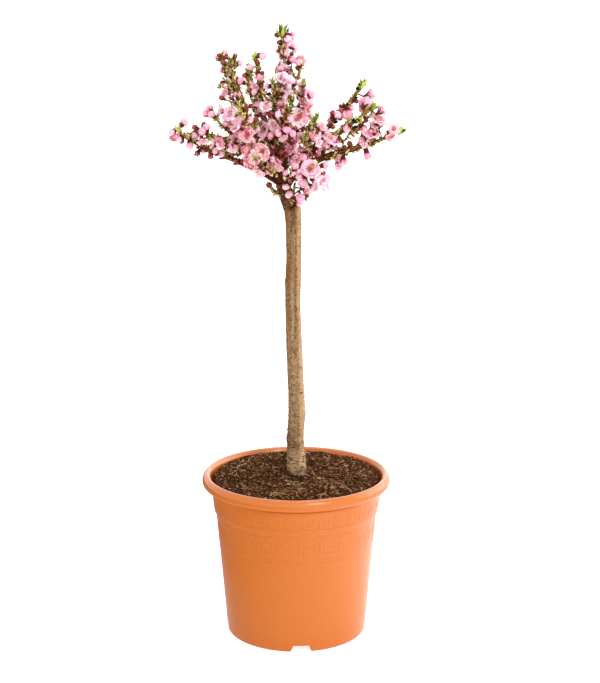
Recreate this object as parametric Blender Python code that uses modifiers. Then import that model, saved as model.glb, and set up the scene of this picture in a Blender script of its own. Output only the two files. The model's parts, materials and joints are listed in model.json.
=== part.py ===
# A dwarf nectarine tree in blossom, trained on a clear stem, in a filled plastic pot.
# Metres, +Z up, and +Y points away from the side that is seen first. The origin is on the
# ground, in the middle of the whole plant's box. The crown reaches further to the left, so
# the pot stands a little to the right of it. Everything is laid out from the pot's axis and
# then moved there. Pot, compost, trunk and boughs are one solid each. Each flowering shoot
# is one solid, which starts 0.3 mm beyond the tip of its own bough.

import math
import random
from collections import namedtuple

import bmesh
import bpy
import numpy as np
from mathutils import Matrix, Quaternion, Vector

GAP = 0.0003
POT_PLACE = (0.0082, -0.0015, 0.0)

# Pot: a thin moulded wall with a rolled lip, a neck, a step and a foot ring
POT_SIDES = 48
LIP_RADIUS = 0.110
LIP_MIDDLE = 0.1045
LIP_HEIGHT = 0.1822
LIP_RISE = 0.0083
LIP_DROP = 0.0072
MOUTH_RADIUS = 0.0993
NECK_TOP_RADIUS = 0.0990
NECK_FOOT_RADIUS = 0.0963
STEP_HEIGHT = 0.1480
STEP_DROP = 0.0032
SHOULDER_RADIUS = 0.0940
BASE_RADIUS = 0.0815
WALL = 0.0025
PLATE_UNDERSIDE = 0.0080
FOOT_WIDTH = 0.0040
NOTCH_COUNT = 4
NOTCH_TURN = math.radians(4.0)
NOTCH_FOOT_WIDTH = 0.0246
NOTCH_TOP_WIDTH = 0.0178
NOTCH_HEIGHT = 0.0076
NOTCH_BELOW = 0.0060
DRAIN_COUNT = 6
DRAIN_RING_RADIUS = 0.050
DRAIN_RADIUS = 0.0055
DRAIN_SIDES = 8
FOOT_CHAMFER = 0.0006
FOOT_CHAMFER_RISE = 0.0022
DRAIN_TURN = math.radians(33)

# Compost: level at the wall, mounded a little towards the trunk
COMPOST_SIDES = 40
COMPOST_EDGE = 0.1858
COMPOST_SEAT = 0.1900
SEAT_RADIUS = 0.0150

# Trunk: the points that its centre line passes, and the radius at heights along it
TRUNK_FOOT = COMPOST_SEAT + GAP
TRUNK_LINE = (
    (0.0009, 0.0, TRUNK_FOOT), (-0.0009, 0.0, 0.233), (0.0007, 0.0, 0.269),
    (-0.0020, 0.0, 0.341), (-0.0036, 0.0, 0.397), (-0.0026, 0.0, 0.462),
    (-0.0040, 0.0, 0.498), (-0.0118, 0.001, 0.520), (-0.0180, 0.003, 0.543),
)
TRUNK_GIRTH = (
    (TRUNK_FOOT, 0.0117), (0.200, 0.0109), (0.220, 0.0103), (0.240, 0.0097),
    (0.262, 0.0098), (0.290, 0.0093), (0.350, 0.0090), (0.400, 0.0087),
    (0.445, 0.0085), (0.470, 0.0088), (0.492, 0.0094), (0.503, 0.0101),
    (0.510, 0.0099), (0.523, 0.0082), (0.543, 0.0066),
)
TRUNK_RINGS = 28
TRUNK_SIDES = 14
BOUGH_RINGS = 4
BOUGH_SIDES = 6
COLLAR = 0.0012
STEM_SIDES = 4
LINE_POINTS = 49

# Limbs: each grows from its parent at a share of the parent's length, towards a tip given
# by its compass angle and reach from the pot's axis and its height. It leaves its parent at
# one rise and ends at another, and the first part of it, up to the bough's share, is bough.
Limb = namedtuple("Limb", "parent at angle reach height rise_in rise_out turn bough radius")
LIMBS = {
    "leader": Limb("trunk", 0.985, 180, 0.0112, 0.7065, 83, 84, 0, 0.25, 0.0056),
    "far_left": Limb("trunk", 0.955, -176, 0.1405, 0.5975, 38, 45, 0, 0.33, 0.0048),
    "far_right": Limb("trunk", 0.945, 0, 0.1245, 0.597, 62, 42, 0, 0.40, 0.0052),
    "front": Limb("trunk", 0.94, -93, 0.070, 0.6375, 50, 60, -40, 0.27, 0.0046),
    "back": Limb("trunk", 0.95, 95, 0.112, 0.605, 45, 40, 0, 0.27, 0.0046),
    "upper_left": Limb("far_left", 0.16, 164, 0.0735, 0.676, 80, 98, 0, 0.14, 0.0036),
    "mid_left": Limb("leader", 0.12, 180, 0.0452, 0.6805, 50, 82, 0, 0.16, 0.0036),
    "inner_left": Limb("leader", 0.20, -141, 0.0318, 0.6545, 25, 84, 0, 0.20, 0.0030),
    "upper_right": Limb("leader", 0.15, -72, 0.0316, 0.6525, 8, 67, 0, 0.20, 0.0033),
    "left_high": Limb("far_left", 0.28, 174, 0.097, 0.611, 85, 60, -30, 0.18, 0.0028),
    "left_front": Limb("far_left", 0.22, -164, 0.112, 0.597, 60, 42, 40, 0.16, 0.0030),
    "front_left": Limb("front", 0.19, -135, 0.091, 0.630, 30, 57, 0, 0.15, 0.0030),
    "right_front": Limb("far_right", 0.17, -61, 0.051, 0.616, 60, 55, 0, 0.17, 0.0030),
    "right_high": Limb("far_right", 0.245, 15, 0.082, 0.649, 74, 62, 0, 0.15, 0.0032),
    "right_mid": Limb("far_right", 0.33, -7, 0.0925, 0.6245, 65, 50, 0, 0.18, 0.0029),
    "low_front_left": Limb("front", 0.135, -118, 0.092, 0.570, 15, 35, 0, 0.17, 0.0028),
    "low_front_right": Limb("front", 0.095, -75, 0.090, 0.563, 12, 30, 0, 0.15, 0.0028),
    "back_left": Limb("back", 0.16, 132, 0.112, 0.607, 40, 45, 0, 0.16, 0.0030),
    "back_right": Limb("back", 0.21, 50, 0.105, 0.600, 40, 45, 0, 0.16, 0.0030),
    "back_high": Limb("leader", 0.09, 112, 0.065, 0.640, 20, 70, 0, 0.18, 0.0032),
}
BOUGH_END_SHARE = 0.70
TIP_RADIUS = 0.0014
LINE_PULL = 0.36

# Spurs: short shoots that sit straight on the trunk, just under its head
Spur = namedtuple("Spur", "at angle rise length")
SPURS = {
    "spur_right": Spur(0.905, -28, 5, 0.016),
    "spur_left": Spur(0.915, -150, 20, 0.015),
    "spur_front": Spur(0.885, -85, 15, 0.014),
    "spur_back": Spur(0.905, 75, 20, 0.020),
}
SPUR_RADIUS = 0.0019
SPUR_LIFT = (12, 50)
SPUR_END_SHARE = 0.9

# Forks: second leaders, each in the same shoot as the limb that it grows from
Fork = namedtuple("Fork", "limb at angle reach height rise_in rise_out")
FORKS = (
    Fork("leader", 0.50, -35, 0.0088, 0.669, 50, 80),
    Fork("mid_left", 0.44, 170, 0.0555, 0.665, 60, 80),
    Fork("upper_left", 0.62, 166, 0.0860, 0.679, 60, 95),
)
FORK_RADIUS = 0.0018

# Side twigs and blossom, dealt out along every twig by a seeded rule
GOLDEN_TURN = math.radians(137.5)
TWIG_EVERY = 0.025
TWIG_LONGEST = 0.027
TWIG_SHORTEST = 0.010
TWIG_RADIUS = 0.0015
TWIG_TRIES = 5
TWIG_RING_EVERY = 0.016
TWIG_SHARES = (0.10, 0.78)
TWIG_TILTS = (38, 58)
TWIG_UPTURN = 0.35
TWIG_SPENT = 0.35
NODE_EVERY = 0.0062
NODE_UNEVEN = 0.15
TUFT_REACH = 0.0085
SPACE_MARGIN = 0.0009
LIMB_CLEARANCE = 0.0013
STEM_CLEARANCE = 0.0034
CROWDING = 0.88
FLOWER_TILTS = (48, 78)
BUD_TILTS = (34, 62)
LEAF_LEANS = (12, 34)
TUFT_LEAVES = 3
OPEN_AT_FOOT = 0.62
OPEN_LOST = 0.46
HALF_OPEN = 0.12
BALLOON_AT_FOOT = 0.16
BALLOON_GAINED = 0.16

# One in so many of each kind is in the solids, which are kept light
SOLID_SHARE = {"open": 1, "half": 1, "balloon": 2, "bud": 4, "leaf": 1}

# Blossom: the full size of each kind, from its root on the twig's centre line
OPEN_RADIUS = 0.0118
OPEN_HEIGHT = 0.0088
HALF_RADIUS = 0.0088
HALF_HEIGHT = 0.0105
BALLOON_RADIUS = 0.0044
BALLOON_LENGTH = 0.0115
BUD_RADIUS = 0.0029
BUD_LENGTH = 0.0085
LEAF_WIDTH = 0.0028
LEAF_THICKNESS = 0.0010
LEAF_LENGTH = 0.0115
KINDS = ("open", "half", "balloon", "bud")
CUPS = ("open", "half")
REACHES = {
    "open": (OPEN_RADIUS, OPEN_HEIGHT),
    "half": (HALF_RADIUS, HALF_HEIGHT),
    "balloon": (BALLOON_RADIUS, BALLOON_LENGTH),
    "bud": (BUD_RADIUS, BUD_LENGTH),
    "leaf": (LEAF_WIDTH / 2, LEAF_LENGTH),
}
PETALS = 5
CALYX_RADIUS = 0.0021
CALYX_SHARE = 0.45
HEART_SHARE = 0.72

Twig = namedtuple("Twig", "points start_radius end_radius start_share end_share")
Bloom = namedtuple("Bloom", "kind root direction spin size")


# Lines in space

def unit(angle, rise):
    """The direction at a compass angle and a rise, both in degrees."""
    a, r = math.radians(angle), math.radians(rise)
    return np.array([math.cos(a) * math.cos(r), math.sin(a) * math.cos(r), math.sin(r)])


def smooth_line(points, count):
    """A line of count points on a Catmull-Rom curve through the given ones."""
    p = np.array(points, float)
    p = np.vstack([2 * p[0] - p[1], p, 2 * p[-1] - p[-2]])
    spans = len(p) - 3
    line = []
    for u in np.linspace(0, spans, count):
        i = min(int(u), spans - 1)
        t = u - i
        a, b, c, d = p[i:i + 4]
        line.append(0.5 * (
            2 * b + (c - a) * t + (2 * a - 5 * b + 4 * c - d) * t ** 2
            + (3 * b - a - 3 * c + d) * t ** 3
        ))
    return np.array(line)


def bent_line(start, end, direction_in, direction_out, count=LINE_POINTS):
    """A line that leaves start in one direction and comes to end in another."""
    pull = LINE_PULL * np.linalg.norm(end - start)
    a = start + pull * direction_in
    b = end - pull * direction_out
    t = np.linspace(0, 1, count)[:, None]
    near_start = (1 - t) ** 3 * start + 3 * (1 - t) ** 2 * t * a
    near_end = 3 * (1 - t) * t ** 2 * b + t ** 3 * end
    return near_start + near_end


def length_of(line):
    return float(np.linalg.norm(np.diff(line, axis=0), axis=1).sum())


def along(line, shares):
    """The points at these shares of the line's length."""
    steps = np.linalg.norm(np.diff(line, axis=0), axis=1)
    at = np.concatenate([[0.0], np.cumsum(steps)])
    wanted = np.asarray(shares, float) * at[-1]
    return np.stack([np.interp(wanted, at, line[:, k]) for k in range(3)], axis=-1)


def stretch(line, start, end, count):
    return along(line, np.linspace(start, end, count))


def compass_point(angle, reach, height):
    a = math.radians(angle)
    return np.array([reach * math.cos(a), reach * math.sin(a), height])


def limb_lines():
    """The centre line of the trunk and of every limb, from its parent's centre line to its tip."""
    lines = {"trunk": smooth_line(TRUNK_LINE, 73)}
    for name, limb in LIMBS.items():
        start = along(lines[limb.parent], limb.at)
        end = compass_point(limb.angle, limb.reach, limb.height)
        heading = math.degrees(math.atan2(end[1] - start[1], end[0] - start[0]))
        line = bent_line(
            start, end, unit(heading + limb.turn, limb.rise_in), unit(heading, limb.rise_out)
        )
        lines[name] = stretch(line, 0, 1, LINE_POINTS)
    return lines


def limb_radius(limb, share):
    """A limb thins evenly along its bough, and then evenly to its tip."""
    bough_end = limb.radius * BOUGH_END_SHARE
    return np.interp(share, [0, limb.bough, 1], [limb.radius, bough_end, TIP_RADIUS])


def trunk_radius(height):
    return np.interp(height, *zip(*TRUNK_GIRTH))


# The rule of growth

def main_twigs(name, lines):
    """The stem of a shoot and its forks."""
    if name in SPURS:
        spur = SPURS[name]
        foot = along(lines["trunk"], spur.at)
        out = unit(spur.angle, spur.rise)
        reach = trunk_radius(foot[2]) + spur.length
        end = foot + reach * unit(spur.angle, spur.rise + SPUR_LIFT[0])
        line = bent_line(foot, end, out, unit(spur.angle, spur.rise + SPUR_LIFT[1]), 13)
        return [Twig(line, SPUR_RADIUS, TIP_RADIUS, 0.0, SPUR_END_SHARE)]
    limb = LIMBS[name]
    whole = length_of(lines[name])
    stem = stretch(lines[name], limb.bough + GAP / whole, 1 - TUFT_REACH / whole, 25)
    twigs = [Twig(stem, limb_radius(limb, limb.bough), TIP_RADIUS, 0.0, 1.0)]
    for fork in FORKS:
        if fork.limb == name:
            start = along(lines[name], fork.at)
            end = compass_point(fork.angle, fork.reach, fork.height)
            heading = math.degrees(math.atan2(end[1] - start[1], end[0] - start[0]))
            line = bent_line(start, end, unit(heading, fork.rise_in), unit(heading, fork.rise_out))
            line = stretch(line, 0, 1 - TUFT_REACH / length_of(line), 13)
            share = (fork.at - limb.bough) / (1 - limb.bough)
            twigs.append(Twig(line, FORK_RADIUS, TIP_RADIUS, share, 1.0))
    return twigs


class Space:
    """Which shoot each place belongs to, and where the trunk and boughs are."""

    def __init__(self, lines):
        self.mains = {name: main_twigs(name, lines) for name in list(LIMBS) + list(SPURS)}
        self.stems = {
            name: np.vstack([stretch(t.points, 0, 1, 40) for t in twigs])
            for name, twigs in self.mains.items()
        }
        trunk = stretch(lines["trunk"], 0.6, 1, 90)
        wood = [trunk]
        radii = [trunk_radius(trunk[:, 2])]
        for name, limb in LIMBS.items():
            wood.append(stretch(lines[name], 0, limb.bough, 40))
            radii.append(limb_radius(limb, np.linspace(0, limb.bough, 40)))
        self.wood = np.vstack(wood)
        self.wood_radii = np.concatenate(radii)

    def holds(self, name, points, margin=SPACE_MARGIN, clearance=LIMB_CLEARANCE):
        """Whether all these points are in the shoot's own space and clear of the limbs."""
        own = np.linalg.norm(points[:, None] - self.stems[name][None], axis=2).min(axis=1)
        for other, stem in self.stems.items():
            if other == name:
                continue
            far = np.linalg.norm(points[:, None] - stem[None], axis=2).min(axis=1)
            if (far < own + 2 * margin).any() or (far < STEM_CLEARANCE).any():
                return False
        wood = np.linalg.norm(points[:, None] - self.wood[None], axis=2) - self.wood_radii
        return bool((wood > clearance).all())


def side_directions(along_twig):
    """Two directions square to a twig, the first as level as can be."""
    level = np.cross(along_twig, (0.0, 0.0, 1.0))
    if np.linalg.norm(level) < 0.05:
        level = np.cross(along_twig, (0.0, 1.0, 0.0))
    level /= np.linalg.norm(level)
    return level, np.cross(level, along_twig)


def leaning(along_twig, angle, tilt):
    """The direction that leans away from a twig by tilt, on the side given by angle."""
    level, raised = side_directions(along_twig)
    side = math.cos(angle) * level + math.sin(angle) * raised
    return math.cos(tilt) * along_twig + math.sin(tilt) * side


def direction_at(line, share):
    ends = along(line, (max(share - 0.03, 0), min(share + 0.03, 1)))
    return (ends[1] - ends[0]) / np.linalg.norm(ends[1] - ends[0])


def side_twigs(name, space, draw):
    """Short twigs along each main twig, longest near its foot. A spur has none."""
    twigs = []
    for main in space.mains[name] if name in LIMBS else ():
        long = length_of(main.points)
        count = max(1, int(long / TWIG_EVERY))
        angle = draw.uniform(0, 2 * math.pi)
        for k in range(count):
            step = (k + draw.uniform(0.1, 0.6)) / count
            share = TWIG_SHARES[0] + (TWIG_SHARES[1] - TWIG_SHARES[0]) * step
            spare = (TWIG_LONGEST - TWIG_SHORTEST) * (1 - share)
            reach = TWIG_SHORTEST + spare * draw.uniform(0.5, 1)
            tilt = math.radians(draw.uniform(*TWIG_TILTS))
            for attempt in range(TWIG_TRIES):
                angle += GOLDEN_TURN
                start = along(main.points, share)
                onward = direction_at(main.points, share)
                out = leaning(onward, angle, tilt)
                later = 0.6 * onward + 0.6 * out + np.array([0, 0, TWIG_UPTURN])
                later /= np.linalg.norm(later)
                end = start + reach * (0.55 * out + 0.45 * later)
                line = bent_line(start, end, out, later, 9)
                if space.holds(name, line[3:], 0.0012, 0.0026):
                    at = main.start_share + share * (main.end_share - main.start_share)
                    spent = min(at + TWIG_SPENT, 0.99)
                    twigs.append(Twig(line, TWIG_RADIUS, 0.8 * TIP_RADIUS, at, spent))
                    break
                reach *= 0.85
    return twigs


def kind_at(share, chance):
    """Open flowers near a shoot's foot, more and more buds towards its tip."""
    opened = OPEN_AT_FOOT - OPEN_LOST * share
    balloon = BALLOON_AT_FOOT + BALLOON_GAINED * share
    edges = np.cumsum([opened, HALF_OPEN, balloon])
    return KINDS[int(np.searchsorted(edges, chance))]


def test_points(bloom):
    """Points on the outline of one flower, bud or leaf."""
    radius, height = (bloom.size * v for v in REACHES[bloom.kind])
    first, second = side_directions(bloom.direction)
    cup = bloom.kind in CUPS
    points = [bloom.root + bloom.direction * height]
    for level, share in ((1.0 if cup else 0.6, 1.0), (0.8 if cup else 0.95, 0.55)):
        for k in range(8):
            a = k * math.pi / 4
            side = math.cos(a) * first + math.sin(a) * second
            points.append(bloom.root + bloom.direction * height * level + side * radius * share)
    return np.array(points)


def blooms_of(name, space, twigs, draw):
    """The blossom of a shoot, and a tuft of leaves at the tip of each twig."""
    blooms = []
    middles = []
    for twig in twigs:
        long = length_of(twig.points)
        angle = draw.uniform(0, 2 * math.pi)
        place = draw.uniform(0.2, 0.9) * NODE_EVERY
        while place < long - 0.002:
            share = place / long
            angle += GOLDEN_TURN + draw.uniform(-0.3, 0.3)
            root = along(twig.points, share)
            onward = direction_at(twig.points, share)
            whole = twig.start_share + share * (twig.end_share - twig.start_share)
            kind = kind_at(whole, draw.random())
            tilts = FLOWER_TILTS if kind in CUPS else BUD_TILTS
            tilt = math.radians(draw.uniform(*tilts))
            size = draw.uniform(0.84, 1.0)
            spin = draw.uniform(0, 2 * math.pi)
            for smaller in KINDS[KINDS.index(kind):]:
                bloom = Bloom(smaller, root, leaning(onward, angle, tilt), spin, size)
                radius, height = (size * v for v in REACHES[smaller])
                middle = root + bloom.direction * height * 0.8
                room = radius * (0.75 if smaller in CUPS else 1.0)
                crowded = any(
                    np.linalg.norm(middle - m) < CROWDING * (room + r) for m, r in middles
                )
                if not crowded and space.holds(name, test_points(bloom)):
                    blooms.append(bloom)
                    middles.append((middle, room))
                    break
            place += NODE_EVERY * draw.uniform(1 - NODE_UNEVEN, 1 + NODE_UNEVEN)
        onward = direction_at(twig.points, 1.0)
        root = twig.points[-1] - onward * 0.0015
        angle = draw.uniform(0, 2 * math.pi)
        leading = name in LIMBS and twig.end_share == 1.0
        for k in range(TUFT_LEAVES if leading else 1):
            lean = math.radians(draw.uniform(*LEAF_LEANS) if leading else 8)
            size = draw.uniform(0.8, 1.0)
            kind = "leaf" if leading else "bud"
            tip = Bloom(kind, root, leaning(onward, angle + k * GOLDEN_TURN, lean), 0.0, size)
            if space.holds(name, test_points(tip)):
                blooms.append(tip)
    return blooms


def shoots(lines):
    """Every shoot by name: its twigs and its blossom."""
    space = Space(lines)
    grown = {}
    for name in space.mains:
        draw = random.Random("nectarine " + name)
        twigs = space.mains[name] + side_twigs(name, space, draw)
        grown[name] = (twigs, blooms_of(name, space, twigs, draw))
    return grown


# Meshes

def clear_scene():
    for obj in list(bpy.data.objects):
        bpy.data.objects.remove(obj, do_unlink=True)


def new_collection(name):
    collection = bpy.data.collections.new(name)
    bpy.context.scene.collection.children.link(collection)
    return collection


def material(name, colour, roughness):
    found = bpy.data.materials.get(name) or bpy.data.materials.new(name)
    found.use_nodes = True
    shader = found.node_tree.nodes["Principled BSDF"]
    shader.inputs["Base Color"].default_value = (*colour, 1.0)
    shader.inputs["Roughness"].default_value = roughness
    shader.inputs["Metallic"].default_value = 0.0
    return found


def mesh_object(name, mesh, collection):
    obj = bpy.data.objects.new(name, mesh)
    collection.objects.link(obj)
    return obj


def applied(obj, collection):
    """A plain mesh object in place of a curve, or of an object with modifiers."""
    graph = bpy.context.evaluated_depsgraph_get()
    mesh = bpy.data.meshes.new_from_object(obj.evaluated_get(graph))
    name = obj.name
    place = obj.matrix_world.copy()
    bpy.data.objects.remove(obj, do_unlink=True)
    made = mesh_object(name, mesh, collection)
    made.matrix_world = place
    return made


def welded(obj, distance=1e-6):
    work = bmesh.new()
    work.from_mesh(obj.data)
    bmesh.ops.remove_doubles(work, verts=work.verts, dist=distance)
    bmesh.ops.recalc_face_normals(work, faces=work.faces)
    work.to_mesh(obj.data)
    work.free()
    return obj


def turned(name, profile, sides, collection):
    """A shape turned about Z from a profile that runs up its inside and down its outside."""
    mesh = bpy.data.meshes.new(name)
    edges = [(i, i + 1) for i in range(len(profile) - 1)]
    mesh.from_pydata([(r, 0.0, z) for r, z in profile], edges, [])
    obj = mesh_object(name, mesh, collection)
    screw = obj.modifiers.new("turn", "SCREW")
    screw.steps = sides
    screw.render_steps = sides
    screw.use_merge_vertices = True
    screw.merge_threshold = 1e-5
    screw.use_smooth_shade = True
    return obj


def tube(name, points, radii, sides, collection):
    """A tapering tube along a line, as a curve with filled caps, made into a mesh."""
    curve = bpy.data.curves.new(name, "CURVE")
    curve.dimensions = "3D"
    curve.bevel_depth = 1.0
    curve.bevel_resolution = max(0, (sides - 4) // 2)
    curve.use_fill_caps = True
    if sides == 3:
        curve.bevel_mode = "OBJECT"
        curve.bevel_object = bpy.data.objects["three_sided_section"]
    spline = curve.splines.new("POLY")
    spline.points.add(len(points) - 1)
    for point, place, radius in zip(spline.points, points, radii):
        point.co = (*place, 1.0)
        point.radius = float(radius)
    obj = bpy.data.objects.new(name, curve)
    collection.objects.link(obj)
    return welded(applied(obj, collection))


def three_sided_section(collection):
    """The cross-section of the thin twigs."""
    curve = bpy.data.curves.new("three_sided_section", "CURVE")
    spline = curve.splines.new("POLY")
    spline.points.add(2)
    for k, point in enumerate(spline.points):
        a = 2 * math.pi * k / 3
        point.co = (math.cos(a), math.sin(a), 0.0, 1.0)
    spline.use_cyclic_u = True
    section = bpy.data.objects.new("three_sided_section", curve)
    collection.objects.link(section)
    section.hide_render = True
    section.display_type = "WIRE"
    return section


def boolean(obj, operation, other=None, collection=None):
    modifier = obj.modifiers.new(operation.lower(), "BOOLEAN")
    modifier.operation = operation
    modifier.solver = "EXACT"
    if collection is None:
        modifier.object = other
    else:
        modifier.operand_type = "COLLECTION"
        modifier.collection = collection
    return modifier


def outer_shell(obj):
    """Keeps the largest closed shell, which fills sealed hollows and drops loose scraps."""
    work = bmesh.new()
    work.from_mesh(obj.data)
    bmesh.ops.triangulate(work, faces=work.faces)
    left = set(work.faces)
    shells = []
    while left:
        found = {left.pop()}
        front = list(found)
        while front:
            for edge in front.pop().edges:
                fresh = set(edge.link_faces) - found
                found |= fresh
                front.extend(fresh)
        left -= found
        volume = sum(
            face.verts[0].co.dot(face.verts[1].co.cross(face.verts[2].co)) for face in found
        )
        shells.append((volume, found))
    shells.sort(key=lambda shell: shell[0])
    for volume, found in shells[:-1]:
        bmesh.ops.delete(work, geom=list(found), context="FACES")
    work.to_mesh(obj.data)
    work.free()


def shade_smooth(obj, sharp_from=35):
    obj.data.shade_smooth()
    obj.data.set_sharp_from_angle(angle=math.radians(sharp_from))


# Pot and compost

def arc(middle_r, middle_z, size_r, size_z, start, end, count):
    """Points on an elliptical arc of a profile, from one angle in degrees to another."""
    angles = np.radians(np.linspace(start, end, count))
    return [(middle_r + size_r * math.cos(a), middle_z + size_z * math.sin(a)) for a in angles]


def pot_outside():
    """The pot's outer profile, from the crest of its lip down to its foot."""
    lip_out = LIP_RADIUS - LIP_MIDDLE
    lip_in = LIP_RADIUS - NECK_TOP_RADIUS
    profile = arc(LIP_MIDDLE, LIP_HEIGHT, lip_out, LIP_RISE, 90, 0, 5)
    profile += arc(NECK_TOP_RADIUS, LIP_HEIGHT, lip_in, LIP_DROP, -25, -90, 4)
    profile += [(NECK_FOOT_RADIUS, STEP_HEIGHT), (SHOULDER_RADIUS, STEP_HEIGHT - STEP_DROP)]
    profile += [(wall_radius(FOOT_CHAMFER_RISE), FOOT_CHAMFER_RISE)]
    profile += [(BASE_RADIUS - FOOT_CHAMFER, 0.0)]
    return profile


def wall_radius(height):
    """The outer radius of the wall at a height below the lip."""
    heights = (0.0, STEP_HEIGHT - STEP_DROP, STEP_HEIGHT, LIP_HEIGHT - LIP_DROP)
    radii = (BASE_RADIUS, SHOULDER_RADIUS, NECK_FOOT_RADIUS, NECK_TOP_RADIUS)
    return float(np.interp(height, heights, radii))


def inner_radius(height):
    return wall_radius(height) - WALL


def pot_inside():
    """The pot's inner profile, from its axis on the base plate up to the crest of its lip."""
    floor = PLATE_UNDERSIDE + WALL
    heights = (floor, STEP_HEIGHT - STEP_DROP - WALL, STEP_HEIGHT - WALL, LIP_HEIGHT - LIP_DROP)
    profile = [(0.0, floor)] + [(inner_radius(z), z) for z in heights]
    mouth = LIP_MIDDLE - MOUTH_RADIUS
    profile += arc(LIP_MIDDLE, LIP_HEIGHT, mouth, LIP_RISE, 180, 90, 4)[:-1]
    return profile


def make_pot(parts, cutters):
    foot = BASE_RADIUS - FOOT_WIDTH
    profile = pot_inside() + pot_outside()
    profile += [(foot, 0.0), (foot, PLATE_UNDERSIDE), (0.0, PLATE_UNDERSIDE)]
    pot = turned("pot", profile, POT_SIDES, parts)
    for k in range(NOTCH_COUNT):
        turn = NOTCH_TURN - math.pi / 2 + k * 2 * math.pi / NOTCH_COUNT
        boolean(pot, "DIFFERENCE", other=notch_cutter(k, turn, cutters))
    for k in range(DRAIN_COUNT):
        turn = DRAIN_TURN + k * 2 * math.pi / DRAIN_COUNT
        work = bmesh.new()
        bmesh.ops.create_cone(
            work, cap_ends=True, segments=DRAIN_SIDES, radius1=DRAIN_RADIUS,
            radius2=DRAIN_RADIUS, depth=4 * WALL,
        )
        mesh = bpy.data.meshes.new(f"drain_cutter_{k}")
        work.to_mesh(mesh)
        work.free()
        cutter = mesh_object(mesh.name, mesh, cutters)
        cutter.location = (
            DRAIN_RING_RADIUS * math.cos(turn), DRAIN_RING_RADIUS * math.sin(turn),
            PLATE_UNDERSIDE + WALL / 2,
        )
        boolean(pot, "DIFFERENCE", other=cutter)
    pot.data.materials.append(material("terracotta plastic", (0.78, 0.215, 0.055), 0.38))
    return pot


def notch_cutter(index, turn, cutters):
    """A block, narrower at its top, that opens the foot ring."""
    slope = (NOTCH_FOOT_WIDTH - NOTCH_TOP_WIDTH) / NOTCH_HEIGHT
    work = bmesh.new()
    bmesh.ops.create_cube(work, size=1.0)
    for vert in work.verts:
        top = vert.co.z > 0
        vert.co.y *= NOTCH_TOP_WIDTH if top else NOTCH_FOOT_WIDTH + slope * NOTCH_BELOW
        vert.co.z = NOTCH_HEIGHT if top else -NOTCH_BELOW
        vert.co.x = BASE_RADIUS - FOOT_WIDTH / 2 + vert.co.x * 5 * FOOT_WIDTH
    mesh = bpy.data.meshes.new(f"notch_cutter_{index}")
    work.to_mesh(mesh)
    work.free()
    cutter = mesh_object(mesh.name, mesh, cutters)
    cutter.rotation_euler = (0.0, 0.0, turn)
    return cutter


def make_compost(parts):
    floor = PLATE_UNDERSIDE + WALL + GAP
    edge = inner_radius(COMPOST_EDGE) - GAP
    profile = [(0.0, COMPOST_SEAT), (SEAT_RADIUS, COMPOST_SEAT)]
    for share in (0.25, 0.5, 0.75, 1.0):
        radius = SEAT_RADIUS + (edge - SEAT_RADIUS) * share
        drop = (COMPOST_SEAT - COMPOST_EDGE) * (1 - math.cos(share * math.pi)) / 2
        profile.append((radius, COMPOST_SEAT - drop))
    step = STEP_HEIGHT - WALL
    for height in (LIP_HEIGHT - LIP_DROP, step, step - STEP_DROP, floor):
        profile.append((inner_radius(height) - GAP, height))
    profile.append((0.0, floor))
    compost = turned("compost", profile, COMPOST_SIDES, parts)
    compost.data.materials.append(material("peat compost", (0.055, 0.028, 0.016), 0.95))
    return compost


# Trunk and boughs

def trunk_rings(lines):
    """The middles of the trunk's rings, the lowest two one above the other for a level cut."""
    line = stretch(lines["trunk"], 0, 1, TRUNK_RINGS)
    line[0, :2] = line[1, :2]
    return line


def wood_cutter(name, lines, cutters):
    """The trunk or a bough, larger all round by the gap, to seat what grows from it."""
    if name == "trunk":
        line = trunk_rings(lines)
        radii = trunk_radius(line[:, 2])
    else:
        line, radii = bough_rings(name, lines)
    line = line.copy()
    line[-1] += GAP * direction_at(line, 1.0)
    sides = TRUNK_SIDES if name == "trunk" else BOUGH_SIDES
    return tube(f"seat_cutter_{name}", line, radii + GAP, sides, cutters)


def bough_rings(name, lines):
    """The middles and radii of a bough's rings, the last two close so that its end is square."""
    limb = LIMBS[name]
    shares = np.linspace(0, limb.bough, BOUGH_RINGS)
    shares = np.insert(shares, -1, limb.bough - COLLAR / length_of(lines[name]))
    return along(lines[name], shares), limb_radius(limb, shares)


def seated(obj, carrier, lines, parts, cutters):
    """Hollows the foot of a limb to the shape of what carries it."""
    cutter = wood_cutter(carrier, lines, cutters)
    boolean(obj, "DIFFERENCE", other=cutter)
    obj = applied(obj, parts)
    bpy.data.objects.remove(cutter, do_unlink=True)
    outer_shell(obj)
    return obj


def make_trunk(lines, parts):
    line = trunk_rings(lines)
    trunk = tube("trunk", line, trunk_radius(line[:, 2]), TRUNK_SIDES, parts)
    trunk.data.materials.append(material("trunk bark", (0.30, 0.19, 0.10), 0.85))
    shade_smooth(trunk)
    return trunk


def make_bough(name, lines, parts, cutters):
    """One tapering limb, from its seat on what carries it to the foot of its shoot."""
    line, radii = bough_rings(name, lines)
    bough = tube(f"bough_{name}", line, radii, BOUGH_SIDES, parts)
    bough = seated(bough, LIMBS[name].parent, lines, parts, cutters)
    bough.data.materials.append(material("bough bark", (0.20, 0.105, 0.055), 0.8))
    shade_smooth(bough)
    return bough


# Blossom

def placed(name, work, bloom, collection):
    """The object of a small shape that was made along +Z from the origin."""
    mesh = bpy.data.meshes.new(name)
    turn = Vector((0, 0, 1)).rotation_difference(Vector(bloom.direction))
    turn = turn @ Quaternion((0, 0, 1), bloom.spin)
    work.transform(Matrix.Translation(Vector(bloom.root)) @ turn.to_matrix().to_4x4())
    bmesh.ops.recalc_face_normals(work, faces=work.faces)
    work.to_mesh(mesh)
    work.free()
    return mesh_object(name, mesh, collection)


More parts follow.
